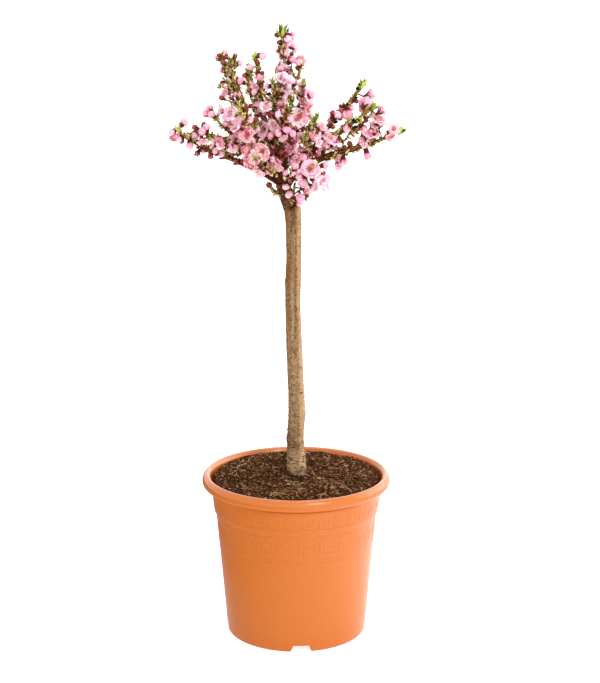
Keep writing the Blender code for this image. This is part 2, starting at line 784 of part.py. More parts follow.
def flower_shape(radius, height, has_calyx):
    """A flower: a cone that spreads into a dished rosette of five petals.

    An open flower's cone is narrow as far as its calyx goes, and then spreads at once."""
    work = bmesh.new()
    foot = work.verts.new((0, 0, 0))
    calyx = []
    rim = []
    for k in range(PETALS):
        a = 2 * math.pi * k / PETALS
        if has_calyx:
            calyx.append(work.verts.new((
                CALYX_RADIUS * math.cos(a), CALYX_RADIUS * math.sin(a), CALYX_SHARE * height
            )))
        for turn, out, level in ((0.0, 1.0, 1.0), (math.pi / PETALS, 0.80, 0.88)):
            reach = radius * out
            rim.append(work.verts.new((
                reach * math.cos(a + turn), reach * math.sin(a + turn), level * height
            )))
    heart = work.verts.new((0, 0, HEART_SHARE * height))
    for k in range(PETALS):
        after = (k + 1) % PETALS
        petal, notch, next_petal = rim[2 * k], rim[2 * k + 1], rim[(2 * k + 2) % len(rim)]
        if has_calyx:
            work.faces.new((foot, calyx[after], calyx[k]))
            work.faces.new((calyx[k], notch, petal))
            work.faces.new((calyx[k], calyx[after], notch))
            work.faces.new((calyx[after], next_petal, notch))
        else:
            work.faces.new((foot, notch, petal))
            work.faces.new((foot, next_petal, notch))
        work.faces.new((heart, petal, notch))
        work.faces.new((heart, notch, next_petal))
    return work


def bud_shape(radius, height):
    """A bud: a coarse ball drawn out along +Z, with its lower end at the origin."""
    work = bmesh.new()
    bmesh.ops.create_uvsphere(work, u_segments=5, v_segments=2, radius=1.0)
    stretch_to = Matrix.Diagonal((radius, radius, height / 2, 1.0))
    work.transform(Matrix.Translation((0, 0, height / 2)) @ stretch_to)
    return work


def leaf_shape(length, width, thickness):
    """A young leaf: a flat diamond with a keel on both faces."""
    work = bmesh.new()
    bmesh.ops.create_uvsphere(work, u_segments=4, v_segments=2, radius=1.0)
    drawn_out = Matrix.Diagonal((width / 2, thickness / 2, length / 2, 1.0))
    work.transform(Matrix.Translation((0, 0, length / 2)) @ drawn_out)
    return work


def bloom_object(name, bloom, collection):
    radius, height = (bloom.size * v for v in REACHES[bloom.kind])
    if bloom.kind in CUPS:
        work = flower_shape(radius, height, bloom.kind == "open")
    elif bloom.kind == "leaf":
        work = leaf_shape(height, 2 * radius, LEAF_THICKNESS)
    else:
        work = bud_shape(radius, height)
    return placed(name, work, bloom, collection)


def make_shoot(name, twigs, blooms, lines, parts, cutters):
    """One flowering shoot: its stem, side twigs, flowers, buds and leaves in one solid."""
    loose = new_collection(f"loose_{name}")
    for k, twig in enumerate(twigs):
        long = length_of(twig.points)
        shares = np.linspace(0, 1, max(2, round(long / TWIG_RING_EVERY) + 1))
        if k == 0:
            shares = np.insert(shares, 1, COLLAR / long)
        line = along(twig.points, shares)
        radii = np.interp(shares, [0, 1], [twig.start_radius, twig.end_radius])
        if k == 0:
            shoot = tube(f"shoot_{name}", line, radii, STEM_SIDES, parts)
        else:
            tube(f"{name}_twig_{k}", line, radii, 3, loose)
    if name in SPURS:
        shoot = seated(shoot, "trunk", lines, parts, cutters)
    kept = [b for k, b in enumerate(blooms) if k % SOLID_SHARE[b.kind] == 0]
    for k, bloom in enumerate(kept):
        bloom_object(f"{name}_{bloom.kind}_{k}", bloom, loose)
    boolean(shoot, "UNION", collection=loose)
    shoot = applied(shoot, parts)
    for obj in list(loose.objects):
        bpy.data.objects.remove(obj, do_unlink=True)
    bpy.data.collections.remove(loose)
    outer_shell(shoot)
    shoot.data.materials.clear()
    shoot.data.materials.append(material("blossom", (0.85, 0.36, 0.46), 0.6))
    return shoot


def stood_in_place(parts, cutters):
    """Moves all that was laid out from the pot's axis to where the pot stands."""
    axis = bpy.data.objects.new("pot_axis", None)
    for obj in list(parts.objects) + list(cutters.objects):
        obj.parent = axis
    parts.objects.link(axis)
    axis.location = POT_PLACE


def main():
    clear_scene()
    parts = new_collection("potted_dwarf_nectarine_tree")
    cutters = new_collection("cutters")
    three_sided_section(cutters)
    make_pot(parts, cutters)
    make_compost(parts)
    lines = limb_lines()
    make_trunk(lines, parts)
    for name in LIMBS:
        make_bough(name, lines, parts, cutters)
    for name, (twigs, blooms) in shoots(lines).items():
        make_shoot(name, twigs, blooms, lines, parts, cutters)
    for cutter in cutters.objects:
        cutter.hide_render = True
        cutter.display_type = "WIRE"
    stood_in_place(parts, cutters)


main()
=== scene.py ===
# The looks of a dwarf nectarine tree in blossom, in a terracotta-coloured pot. The packed
# model is the frame: pot, compost, trunk, boughs and shoots are replaced by finer pieces in
# the same places. Metres, +Z up, and the camera looks along +Y.
import json
import math
import random
from collections import namedtuple

import bmesh
import bpy
import numpy as np
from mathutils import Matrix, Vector, noise

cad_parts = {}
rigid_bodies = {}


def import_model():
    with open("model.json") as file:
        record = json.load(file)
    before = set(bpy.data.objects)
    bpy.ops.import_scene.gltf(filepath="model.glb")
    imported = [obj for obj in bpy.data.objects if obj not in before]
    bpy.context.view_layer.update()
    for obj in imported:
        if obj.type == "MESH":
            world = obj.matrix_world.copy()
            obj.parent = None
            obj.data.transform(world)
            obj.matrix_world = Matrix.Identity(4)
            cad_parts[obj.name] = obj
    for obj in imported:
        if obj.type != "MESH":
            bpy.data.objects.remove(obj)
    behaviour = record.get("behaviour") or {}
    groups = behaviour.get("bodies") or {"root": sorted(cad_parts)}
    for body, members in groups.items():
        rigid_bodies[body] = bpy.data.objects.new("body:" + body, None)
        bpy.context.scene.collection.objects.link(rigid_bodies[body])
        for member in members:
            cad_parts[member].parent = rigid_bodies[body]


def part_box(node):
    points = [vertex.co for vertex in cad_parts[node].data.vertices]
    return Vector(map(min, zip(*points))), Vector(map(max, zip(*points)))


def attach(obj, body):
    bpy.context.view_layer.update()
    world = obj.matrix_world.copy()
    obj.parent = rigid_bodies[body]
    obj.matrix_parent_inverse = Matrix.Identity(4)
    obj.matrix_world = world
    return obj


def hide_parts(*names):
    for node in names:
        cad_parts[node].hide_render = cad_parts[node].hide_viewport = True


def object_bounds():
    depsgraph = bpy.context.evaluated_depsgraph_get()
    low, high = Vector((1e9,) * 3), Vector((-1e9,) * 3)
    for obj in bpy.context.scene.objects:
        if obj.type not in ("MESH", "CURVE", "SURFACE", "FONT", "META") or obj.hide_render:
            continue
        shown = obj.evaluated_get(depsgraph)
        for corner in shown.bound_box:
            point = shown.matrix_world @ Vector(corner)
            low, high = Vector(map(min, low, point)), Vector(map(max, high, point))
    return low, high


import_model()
cad_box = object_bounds()

pot_low, pot_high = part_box("pot")
PLACE = np.array([(pot_low.x + pot_high.x) / 2, (pot_low.y + pot_high.y) / 2, 0.0])

# Pot, as in the solid: lip, neck, step, wall, foot ring and base plate
LIP_RADIUS = 0.110
LIP_MIDDLE = 0.1045
LIP_HEIGHT = 0.1822
LIP_RISE = 0.0083
LIP_DROP = 0.0072
MOUTH_RADIUS = 0.0993
NECK_TOP_RADIUS = 0.0990
NECK_FOOT_RADIUS = 0.0963
STEP_HEIGHT = 0.1480
STEP_DROP = 0.0032
SHOULDER_RADIUS = 0.0940
BASE_RADIUS = 0.0815
WALL = 0.0025
PLATE_UNDERSIDE = 0.0080
FOOT_WIDTH = 0.0040
FOOT_CHAMFER = 0.0006
FOOT_CHAMFER_RISE = 0.0022
NOTCH_COUNT = 4
NOTCH_TURN = math.radians(4.0)
NOTCH_FOOT_WIDTH = 0.0246
NOTCH_TOP_WIDTH = 0.0178
NOTCH_HEIGHT = 0.0076
NOTCH_BELOW = 0.0060
DRAIN_COUNT = 6
DRAIN_RING_RADIUS = 0.050
DRAIN_RADIUS = 0.0055
DRAIN_TURN = math.radians(33)
POT_SIDES = 240

# Raised key-pattern bands on the pot: rows and columns of a grid, as corners of one motif
Band = namedtuple("Band", "motif columns rows low high count stroke")
SMALL_KEY = ((-1.0, 0), (0, 0), (0, 4), (4, 4), (4, 1), (2, 1), (2, 2.5))
LARGE_KEY = ((-1.0, 0), (0, 0), (0, 6), (6, 6), (6, 1.5), (2, 1.5), (2, 4.5), (4, 4.5), (4, 3))
BANDS = (
    Band(SMALL_KEY, 6.4, 4, 0.1545, 0.1665, 33, 0.0013),
    Band(LARGE_KEY, 8.0, 6, 0.1165, 0.1370, 24, 0.0015),
)
LINES_AT = (0.1515, 0.1425, 0.1397, 0.1138, 0.1100)
RELIEF = 0.00024
LINE_WIDTH = 0.0012
STROKE_SECTION = (
    (-0.5, -0.0003), (-0.5, 0.0), (-0.22, RELIEF), (0.22, RELIEF), (0.5, 0.0), (0.5, -0.0003),
)
GROOVE_DEPTH = 0.0009
GROOVE_HEIGHT = 0.0019

# Compost, as in the solid, and what lies on it
COMPOST_EDGE = 0.1858
COMPOST_SEAT = 0.1900
SEAT_RADIUS = 0.0150
CLOD = 0.0028
EDGE_LIFT = 0.0008
CRUMBS = 5200
CRUMB_SHARES = (0.58, 0.980, 0.998)
CRUMB_SIZES = (0.00035, 0.0017)
FIBRES = 620
FIBRE_SHARES = (0.36, 0.72)
FIBRE_LENGTHS = (0.003, 0.013)
HEAPS = (
    (-0.012, -0.012, 0.011, 0.0040), (0.024, 0.078, 0.010, 0.004), (0.040, 0.070, 0.010, 0.002),
    (-0.055, 0.05, 0.02, 0.001), (-0.015, 0.083, 0.008, 0.002),
)
FIBRE_TUFTS = (
    (-12, 0.045), (2, 0.068), (28, 0.055), (-40, 0.055), (-68, 0.070), (-95, 0.075), (-120, 0.072),
    (-80, 0.052), (45, 0.082), (150, 0.060), (110, 0.080),
)

# Trunk and limbs, as in the solids
GAP = 0.0003
TRUNK_FOOT = COMPOST_SEAT + GAP
TRUNK_LINE = (
    (0.0009, 0.0, TRUNK_FOOT), (-0.0009, 0.0, 0.233), (0.0007, 0.0, 0.269),
    (-0.0020, 0.0, 0.341), (-0.0036, 0.0, 0.397), (-0.0026, 0.0, 0.462),
    (-0.0040, 0.0, 0.498), (-0.0118, 0.001, 0.520), (-0.0180, 0.003, 0.543),
)
TRUNK_GIRTH = (
    (TRUNK_FOOT, 0.0117), (0.200, 0.0109), (0.220, 0.0103), (0.240, 0.0097),
    (0.262, 0.0098), (0.290, 0.0093), (0.350, 0.0090), (0.400, 0.0087),
    (0.445, 0.0085), (0.470, 0.0088), (0.492, 0.0094), (0.503, 0.0101),
    (0.510, 0.0099), (0.523, 0.0082), (0.543, 0.0066),
)
TRUNK_RINGS = 520
TRUNK_SIDES = 72

# Knots on the trunk: height, compass angle, radius, rise, and the depth of the eye within
Knot = namedtuple("Knot", "height angle radius rise eye")
KNOTS = (
    Knot(0.4170, 190, 0.0046, 0.0009, 0.0003), Knot(0.3617, 200, 0.0044, 0.0008, 0.0004),
    Knot(0.2878, -62, 0.0040, 0.0009, 0.0018), Knot(0.2630, -20, 0.0044, 0.0012, 0.0004),
    Knot(0.2326, 196, 0.0056, 0.0007, 0.0), Knot(0.4600, -50, 0.0036, 0.0006, 0.0008),
    Knot(0.3355, -92, 0.0034, 0.0005, 0.0012), Knot(0.3165, -58, 0.0026, 0.0004, 0.0014),
    Knot(0.3980, 60, 0.0045, 0.0012, 0.0010), Knot(0.3250, 100, 0.0050, 0.0012, 0.0014),
    Knot(0.2450, 75, 0.0055, 0.0013, 0.0), Knot(0.4900, 130, 0.0042, 0.0010, 0.0006),
)
UNION_HEIGHT = 0.5033
RIDGE = 0.00025

# Long pale ribs and dark grooves down the trunk, and small marks: 2 dark scars, 3 pale bark
Groove = namedtuple("Groove", "angle low high rise half")
GROOVES = (
    Groove(-94, 0.352, 0.500, 0.00022, 0.0018), Groove(-79, 0.345, 0.500, -0.00034, 0.0009),
    Groove(-112, 0.360, 0.500, -0.00026, 0.0008), Groove(100, 0.300, 0.480, -0.00030, 0.0012),
    Groove(40, 0.250, 0.420, -0.00025, 0.0012), Groove(170, 0.300, 0.470, 0.00025, 0.0014),
)
Mark = namedtuple("Mark", "height angle wide high tone")
MARKS = (
    Mark(0.4200, -94, 0.0020, 0.066, 3), Mark(0.3370, -94, 0.0030, 0.0007, 2),
    Mark(0.3180, -48, 0.0019, 0.0009, 2), Mark(0.2885, -54, 0.0017, 0.0010, 2),
    Mark(0.2925, -54, 0.0034, 0.0006, 2), Mark(0.2860, -121, 0.0013, 0.0012, 2),
    Mark(0.2675, -34, 0.0016, 0.0040, 3), Mark(0.2640, -52, 0.0040, 0.0008, 3),
    Mark(0.2610, -100, 0.0060, 0.0005, 2), Mark(0.2645, -156, 0.0030, 0.0009, 2),
    Mark(0.2325, -73, 0.0042, 0.0021, 3), Mark(0.2325, -73, 0.0030, 0.0009, 2),
    Mark(0.2240, -108, 0.0030, 0.0007, 2), Mark(0.2300, -160, 0.0022, 0.0030, 2),
    Mark(0.2470, -60, 0.0026, 0.0009, 3), Mark(0.2075, -60, 0.0050, 0.0010, 3),
    Mark(0.2010, -100, 0.0040, 0.0009, 3), Mark(0.3980, 60, 0.0016, 0.0010, 2),
    Mark(0.3250, 100, 0.0020, 0.0012, 2), Mark(0.4600, -50, 0.0012, 0.0008, 2),
)

# Limbs: each grows from its parent at a share of the parent's length, towards a tip given
# by its compass angle and reach from the pot's axis and its height
Limb = namedtuple("Limb", "parent at angle reach height rise_in rise_out turn bough radius")
LIMBS = {
    "leader": Limb("trunk", 0.985, 180, 0.0112, 0.7065, 83, 84, 0, 0.25, 0.0056),
    "far_left": Limb("trunk", 0.955, -176, 0.1405, 0.5975, 38, 45, 0, 0.33, 0.0048),
    "far_right": Limb("trunk", 0.945, 0, 0.1245, 0.597, 62, 42, 0, 0.40, 0.0052),
    "front": Limb("trunk", 0.94, -93, 0.070, 0.6375, 50, 60, -40, 0.27, 0.0046),
    "back": Limb("trunk", 0.95, 95, 0.112, 0.605, 45, 40, 0, 0.27, 0.0046),
    "upper_left": Limb("far_left", 0.16, 164, 0.0735, 0.676, 80, 98, 0, 0.14, 0.0036),
    "mid_left": Limb("leader", 0.12, 180, 0.0452, 0.6805, 50, 82, 0, 0.16, 0.0036),
    "inner_left": Limb("leader", 0.20, -141, 0.0318, 0.6545, 25, 84, 0, 0.20, 0.0030),
    "upper_right": Limb("leader", 0.15, -72, 0.0316, 0.6525, 8, 67, 0, 0.20, 0.0033),
    "left_high": Limb("far_left", 0.28, 174, 0.097, 0.611, 85, 60, -30, 0.18, 0.0028),
    "left_front": Limb("far_left", 0.22, -164, 0.112, 0.597, 60, 42, 40, 0.16, 0.0030),
    "front_left": Limb("front", 0.19, -135, 0.091, 0.630, 30, 57, 0, 0.15, 0.0030),
    "right_front": Limb("far_right", 0.17, -61, 0.051, 0.616, 60, 55, 0, 0.17, 0.0030),
    "right_high": Limb("far_right", 0.245, 15, 0.082, 0.649, 74, 62, 0, 0.15, 0.0032),
    "right_mid": Limb("far_right", 0.33, -7, 0.0925, 0.6245, 65, 50, 0, 0.18, 0.0029),
    "low_front_left": Limb("front", 0.135, -118, 0.092, 0.570, 15, 35, 0, 0.17, 0.0028),
    "low_front_right": Limb("front", 0.095, -75, 0.090, 0.563, 12, 30, 0, 0.15, 0.0028),
    "back_left": Limb("back", 0.16, 132, 0.112, 0.607, 40, 45, 0, 0.16, 0.0030),
    "back_right": Limb("back", 0.21, 50, 0.105, 0.600, 40, 45, 0, 0.16, 0.0030),
    "back_high": Limb("leader", 0.09, 112, 0.065, 0.640, 20, 70, 0, 0.18, 0.0032),
}
BOUGH_END_SHARE = 0.70
TIP_RADIUS = 0.0014
LINE_PULL = 0.36
LINE_POINTS = 49

Spur = namedtuple("Spur", "at angle rise length")
SPURS = {
    "spur_right": Spur(0.905, -28, 5, 0.016),
    "spur_left": Spur(0.915, -150, 20, 0.015),
    "spur_front": Spur(0.885, -85, 15, 0.014),
    "spur_back": Spur(0.905, 75, 20, 0.020),
}
SPUR_RADIUS = 0.0019
SPUR_LIFT = (12, 50)
SPUR_END_SHARE = 0.9

Fork = namedtuple("Fork", "limb at angle reach height rise_in rise_out")
FORKS = (
    Fork("leader", 0.50, -35, 0.0088, 0.669, 50, 80),
    Fork("mid_left", 0.44, 170, 0.0555, 0.665, 60, 80),
    Fork("upper_left", 0.62, 166, 0.0860, 0.679, 60, 95),
)
FORK_RADIUS = 0.0018

# The rule of growth, as in the solids
GOLDEN_TURN = math.radians(137.5)
TWIG_EVERY = 0.025
TWIG_LONGEST = 0.027
TWIG_SHORTEST = 0.010
TWIG_RADIUS = 0.0015
TWIG_TRIES = 5
TWIG_SHARES = (0.10, 0.78)
TWIG_TILTS = (38, 58)
TWIG_UPTURN = 0.35
TWIG_SPENT = 0.35
NODE_EVERY = 0.0062
NODE_UNEVEN = 0.15
TUFT_REACH = 0.0085
SPACE_MARGIN = 0.0009
LIMB_CLEARANCE = 0.0013
STEM_CLEARANCE = 0.0034
CROWDING = 0.88
FLOWER_TILTS = (48, 78)
BUD_TILTS = (34, 62)
LEAF_LEANS = (12, 34)
TUFT_LEAVES = 3
OPEN_AT_FOOT = 0.62
OPEN_LOST = 0.46
HALF_OPEN = 0.12
BALLOON_AT_FOOT = 0.16
BALLOON_GAINED = 0.16

# Blossom: the full size of each kind, from its root on the twig's centre line
OPEN_RADIUS = 0.0118
OPEN_HEIGHT = 0.0088
HALF_RADIUS = 0.0088
HALF_HEIGHT = 0.0105
BALLOON_RADIUS = 0.0044
BALLOON_LENGTH = 0.0115
BUD_RADIUS = 0.0029
BUD_LENGTH = 0.0085
LEAF_WIDTH = 0.0028
LEAF_LENGTH = 0.0115
KINDS = ("open", "half", "balloon", "bud")
CUPS = ("open", "half")
REACHES = {
    "open": (OPEN_RADIUS, OPEN_HEIGHT),
    "half": (HALF_RADIUS, HALF_HEIGHT),
    "balloon": (BALLOON_RADIUS, BALLOON_LENGTH),
    "bud": (BUD_RADIUS, BUD_LENGTH),
    "leaf": (LEAF_WIDTH / 2, LEAF_LENGTH),
}
PETALS = 5

Twig = namedtuple("Twig", "points start_radius end_radius start_share end_share")
Bloom = namedtuple("Bloom", "kind root direction spin size pale", defaults=(False,))

# Camera: where it stands beside the pot's axis, how far it looks down, and its lens
CAMERA_PLACE = np.array([0.0044, -1.83, 0.77])
CAMERA_DOWN = math.radians(13.0)
FRAME_WIDTH = 600
FRAME_HEIGHT = 683
FOCAL_PIXELS = 1633.0
SENSOR = 24.0

# Blossom that the photograph shows: its middle in the frame, the way it faces, as turned to
# the right of the camera and lifted above level in degrees, and its size; buds face outward
Seen = namedtuple("Seen", "kind column row turn lift size pale", defaults=(False,))
OPEN = (
    (309.6, 168.7, 8, 12, 1.1), (261, 152.4, -12, 14, 1.05), (249.5, 153.5, -42, 10, 0.95),
    (297.5, 119, 12, 24, 1.08), (247.5, 134.5, -30, 24, 1), (264, 130, -40, 12, 1),
    (230.5, 114.5, -45, 28, 1), (316.5, 139.5, 72, 14, 1.1), (306, 95.5, 75, 15, 0.95),
    (306.5, 107, 72, -10, 0.95), (321.5, 182, 50, -15, 1.05), (373, 135.5, 30, 62, 0.95),
    (393.3, 129, 15, 22, 0.74), (365, 106.5, 150, 15, 1),
)
HALF = (
    (261, 109, -60, 30, 0.85), (272, 163, -30, -10, 0.9),
    (253, 163.5, -50, -12, 1), (259, 171.5, -40, -50, 0.9), (279.5, 166, -30, -45, 0.85),
    (303.5, 112, 60, 50, 0.95), (238, 127, -60, 30, 0.95), (274.6, 123, 70, 0, 0.95),
    (221.5, 111, -80, 15, 0.85), (319.5, 148, 65, -10, 0.95), (321, 128, 50, 40, 0.85),
    (295, 145, 85, -25, 0.95), (287, 139, -40, 55, 0.9), (301, 138, 40, 20, 0.9),
    (294, 153.5, 40, 55, 0.95), (266.5, 107.5, -20, 40, 0.9), (279.5, 71, -100, 5, 0.8),
    (294.5, 49, 100, -10, 0.7), (299.5, 61, 140, 10, 0.85), (296, 83.5, 85, 25, 0.75),
    (256.5, 86, -55, -25, 0.75), (226, 93, -50, 20, 0.75), (175.5, 138, -40, 40, 0.75),
    (200.5, 133, 85, -25, 1), (202.5, 140.5, 30, -60, 0.85), (215, 143.5, -80, 30, 0.95),
    (226.5, 144, 40, 60, 1), (305.5, 190.5, 60, -20, 0.85), (329, 141.5, 50, 65, 1.25),
    (338, 165.5, 30, -40, 0.85), (337, 158, 55, -25, 0.75), (361, 143, 50, 30, 0.9),
    (377.5, 120.5, 30, 55, 1.1), (380.5, 111.5, 110, 30, 0.9), (372.5, 126.5, 60, 50, 0.8),
    (370, 94.5, 85, 20, 1.05), (262.5, 107, 20, 60, 0.9), (290, 146, -10, 40, 0.85),
    (297.5, 160.5, 85, -25, 0.85), (240.5, 140, -20, 60, 0.95), (243, 150.5, -70, 10, 0.9),
    (235.5, 137, -30, 50, 0.9), (240, 121, -60, 40, 0.9), (255, 131, -20, 50, 0.9),
    (269, 129, 40, 60, 0.85), (257.5, 160.5, -40, 55, 1.1), (287, 44, 85, -25, 1),
    (218.5, 144.5, 55, 20, 0.95), (229.5, 145.5, 85, 0, 0.95), (305.5, 100.5, 50, 30, 1),
    (368, 139.5, 55, -25, 0.9), (254, 140, -70, -25, 0.9), (302.5, 186, 40, 55, 0.8),
    (313, 138, 55, 40, 0.9), (289.5, 194.5, 70, 40, 0.75), (309, 116.5, 70, 30, 0.8),
    (285, 138, -60, 30, 1), (262, 165, -50, -30, 1), (302, 104, 60, 35, 0.9),
    (289.5, 151, -40, 40, 0.9), (315.5, 181.5, 60, -20, 1), (293, 158, 50, -20, 0.9),
    (390, 135, 40, -40, 0.85), (296, 138.5, 40, 50, 0.85), (279, 162, -50, -20, 0.9),
    (255, 157, -60, 30, 0.9), (364, 134, 50, 40, 0.85), (274.5, 124, -30, -20, 1),
)
PALE = (
    (285, 79, 75, 40, 1.15), (286.5, 88, 90, 10, 1.2), (284.5, 97.5, 75, -20, 1.2),
    (282, 64.5, 80, 35, 1.05), (291, 44.5, 85, 30, 0.95), (313.5, 187.5, 60, -30, 0.95),
    (318, 175, 55, -25, 0.95), (281, 81, 40, 55, 1.05), (282, 90, 70, 55, 1), (381, 124, 40, 55, 0.95),
)
BALLOONS = (
    (286.5, 129, 1), (292.5, 133.5, 1), (278.7, 114.5, 0.95), (292.5, 60, 1.05), (292, 36, 1),
    (262.5, 56, 1.1), (250, 68, 1), (259.5, 76.5, 1.05), (267, 86.5, 0.9), (254.5, 92, 0.9),
    (241, 81, 0.95), (237.5, 94.5, 1), (239.5, 63, 0.9), (209.5, 108, 1), (211.5, 114.5, 1),
    (184, 122.3, 1.05), (171.5, 132, 1), (190, 145.5, 1), (204, 141, 1), (221, 153.5, 1),
    (303, 181.7, 1.1), (325, 165.4, 1), (299, 197.5, 1.1), (285.8, 186.6, 0.95), (295, 166.5, 1),
    (294, 173, 0.9), (285, 172.8, 0.8), (303, 156.5, 1.1), (343.8, 161.4, 1.1), (367.3, 155, 1.05),
    (363.3, 128.5, 1.1), (347, 114.5, 1.5), (337.3, 115, 1.1), (272.5, 159.5, 1), (278.5, 133, 1),
    (234.5, 148.5, 1.1), (215.5, 151, 0.9), (232.5, 124, 1.1), (195, 136, 1.1), (281.5, 68.5, 1),
    (271, 136, 1), (334, 139.5, 1.1), (299, 62.5, 1), (368, 157, 0.9), (290, 118.5, 1),
    (206.5, 113.5, 1.1), (207, 127, 1), (167.5, 132, 1), (302, 197.5, 1), (299.5, 177, 1),
    (326, 146, 1), (280, 101, 1), (347, 129, 1), (258.5, 104.5, 0.9), (178.5, 139, 1), (299, 203, 1),
    (289, 195, 1), (262, 114.5, 0.9), (311, 95, 1), (287.5, 38.5, 1), (250, 119.5, 0.9),
    (372, 132, 1.1), (202.5, 131.5, 1.1),
)
BUDS = (
    (268, 143, 1.2), (273, 151, 1.2), (250, 143, 1.1), (303, 129, 1.1), (317, 155, 1.1),
    (258, 115, 1.1), (264, 118, 1.1), (269, 114, 1), (266, 139, 1.1), (281, 160, 1.1),
    (255, 120, 1.1), (268, 121, 1.1), (254.5, 108.5, 1), (366, 120, 1), (355, 131, 1), (333, 127, 1),
    (356, 101, 1), (231, 97.5, 1), (221.5, 98, 1), (203, 151, 1), (222, 83, 1),
    (261.5, 114.5, 1), (272, 114, 1), (251, 106, 1), (278.5, 51, 0.9), (277.3, 35, 1.1),
    (279, 42.5, 0.9), (303.8, 89.5, 1), (244.5, 75.5, 1), (235, 81.5, 1), (219.5, 56, 1.1),
    (225.5, 57, 1), (235, 56, 1), (222.6, 71, 1), (181.5, 141, 1.1), (195, 127.5, 1.1),
    (204, 124.8, 1.1), (197.4, 153.5, 1.2), (210.5, 156.5, 1.1), (235.6, 161.5, 1.1), (243, 162, 1.1),
    (248, 166, 1), (266.5, 171.5, 1.1), (323, 172.8, 1), (269, 185, 1.2), (278, 186.6, 0.9),
    (287.7, 196.3, 1), (277, 159, 1.2), (286, 155, 1.1), (338.5, 141, 1.1), (349.5, 143.5, 1.1),
    (345.4, 127, 1.2), (332.5, 112.5, 1), (330, 120.7, 1.1), (340.5, 106, 0.8), (246, 107.5, 1),
    (268.5, 147.5, 1), (274, 147, 0.9), (281.5, 151.5, 1.1), (311, 155, 1.1), (218, 58, 1.2),
    (246.5, 110.5, 0.9), (336, 148.5, 1.1),
)
SEEN = [
    *(Seen("open", *row) for row in OPEN), *(Seen("half", *row) for row in HALF),
    *(Seen("half", *row, True) for row in PALE),
    *(Seen("balloon", column, row, 0, 0, size) for column, row, size in BALLOONS),
    *(Seen("bud", column, row, 0, 0, size) for column, row, size in BUDS),
]
CUP_MIDDLE = 0.75
STALK = 0.0030
DEPTH_WEIGHT = 0.06
HIDING = 2.5

# Tufts of young leaves that the photograph shows: where they begin and where they end
Tuft = namedtuple("Tuft", "column row tip_column tip_row")
TUFTS = [Tuft(*row) for row in (
    (281.5, 37, 281, 23), (282, 37, 287.5, 23), (254.5, 62, 255, 50), (273.5, 85, 273, 75),
    (291.5, 104, 293.5, 93), (289, 111, 291, 102), (286, 119, 288, 109), (237, 113, 230, 102),
    (238, 113, 235, 99), (239, 113, 241, 102), (244, 120, 241, 110), (247, 125, 245, 116),
    (301.5, 87, 305, 77), (304, 145, 301, 136), (306, 141, 310, 133), (309, 134, 305, 126),
    (311, 130, 315, 122), (313, 125, 310, 117), (315, 121, 319, 112), (315, 120, 316, 111),
    (361.5, 89, 367, 78), (361, 90, 360, 79), (373, 111, 376, 101), (361, 124, 359, 114),
    (399, 135, 403, 125), (401, 133, 407.5, 129), (180, 133, 174, 124), (211, 140, 206, 136),
    (268, 141, 260, 137), (276, 143, 283, 139), (279, 190, 275.5, 193), (333, 157, 341, 152),
    (345, 154, 352, 149), (222, 62, 221, 52), (235, 65, 235, 55), (249, 74, 248, 64),
    (265, 97, 262, 88),
)]
TUFT_NEARER = 0.0040
SPRAY = 5
SPRAY_TILTS = (3, 32)
TUFT_ROOM = 6.0

# Short brown shoots thick with bud scales, in the same places of the frame as the tufts
SHOOTS = [Tuft(*row) for row in (
    (259, 124, 255, 111), (266, 125, 263, 111), (270, 122, 269, 109), (353, 135, 371, 114),
    (266, 152, 268, 140), (277, 160, 272, 147), (301, 136, 304, 125), (252, 150, 249, 139),
    (282, 60, 279, 42), (284, 57, 282, 39), (236, 97, 229, 66), (240, 101, 232, 75), (234, 91, 224, 79),
    (231, 77, 225, 62), (233, 72, 230, 58), (238, 93, 227, 86), (229, 90, 221, 86), (252, 101, 249, 77),
    (262, 101, 263, 82), (246, 106, 240, 90), (274, 97, 273, 82), (279, 97, 279.5, 80),
    (299, 111, 300, 95), (295, 79, 291, 67), (350, 104, 358, 92), (345, 109, 352, 98),
    (243, 142, 224, 139), (226, 140, 206, 133), (239, 155, 222, 151), (243, 134, 228, 122),
    (324, 150, 334, 146), (327, 160, 339, 156), (344, 141, 354, 127), (268, 100, 262, 92),
    (285, 118, 287, 106), (317, 133, 315, 120), (306, 137, 307, 128), (262, 113, 256, 104),
)]
SHOOT_RADII = (0.0015, 0.0009)

# Where the photograph shows sky within the crown, and where it shows bare wood or leaves
SKY = (
    (225.8, 160.8, 4.5), (231.7, 165.8, 4.5), (241.7, 170.8, 4.5), (250, 175.8, 4.5), (260, 180.8, 4.5),
    (273.3, 198.3, 4.5), (356.7, 159.2, 7), (365.8, 163, 4.5), (372.5, 154, 4), (310.8, 195.8, 5),
    (348.3, 96.7, 7), (355.8, 83.7, 4), (343, 100.7, 4.5), (353.3, 118.3, 5), (350.8, 123.3, 4),
    (336, 130.8, 5), (345, 135, 4), (325, 125.8, 4), (221.7, 118.3, 4), (213.8, 128.3, 4),
    (187.5, 131, 3), (266, 66, 4), (218.8, 66, 3), (297, 183, 4), (311.5, 180, 3), (269, 190, 3),
    (330, 178, 5), (338, 132, 5), (228, 160, 4.5), (268, 178, 4.5), (248, 58, 4), (354, 140, 4),
    (300, 72, 3.5), (209, 140, 3), (361, 116, 4), (306, 197, 3), (215, 161, 3.5), (384, 137, 4),
    (375, 149, 4), (351, 123.5, 4), (378, 132.5, 3), (362, 139.5, 3), (373, 93.5, 3),
    (283.5, 96.5, 2.5), (384.5, 112, 3.5), (253, 83, 3), (274, 68.5, 2.5),
)
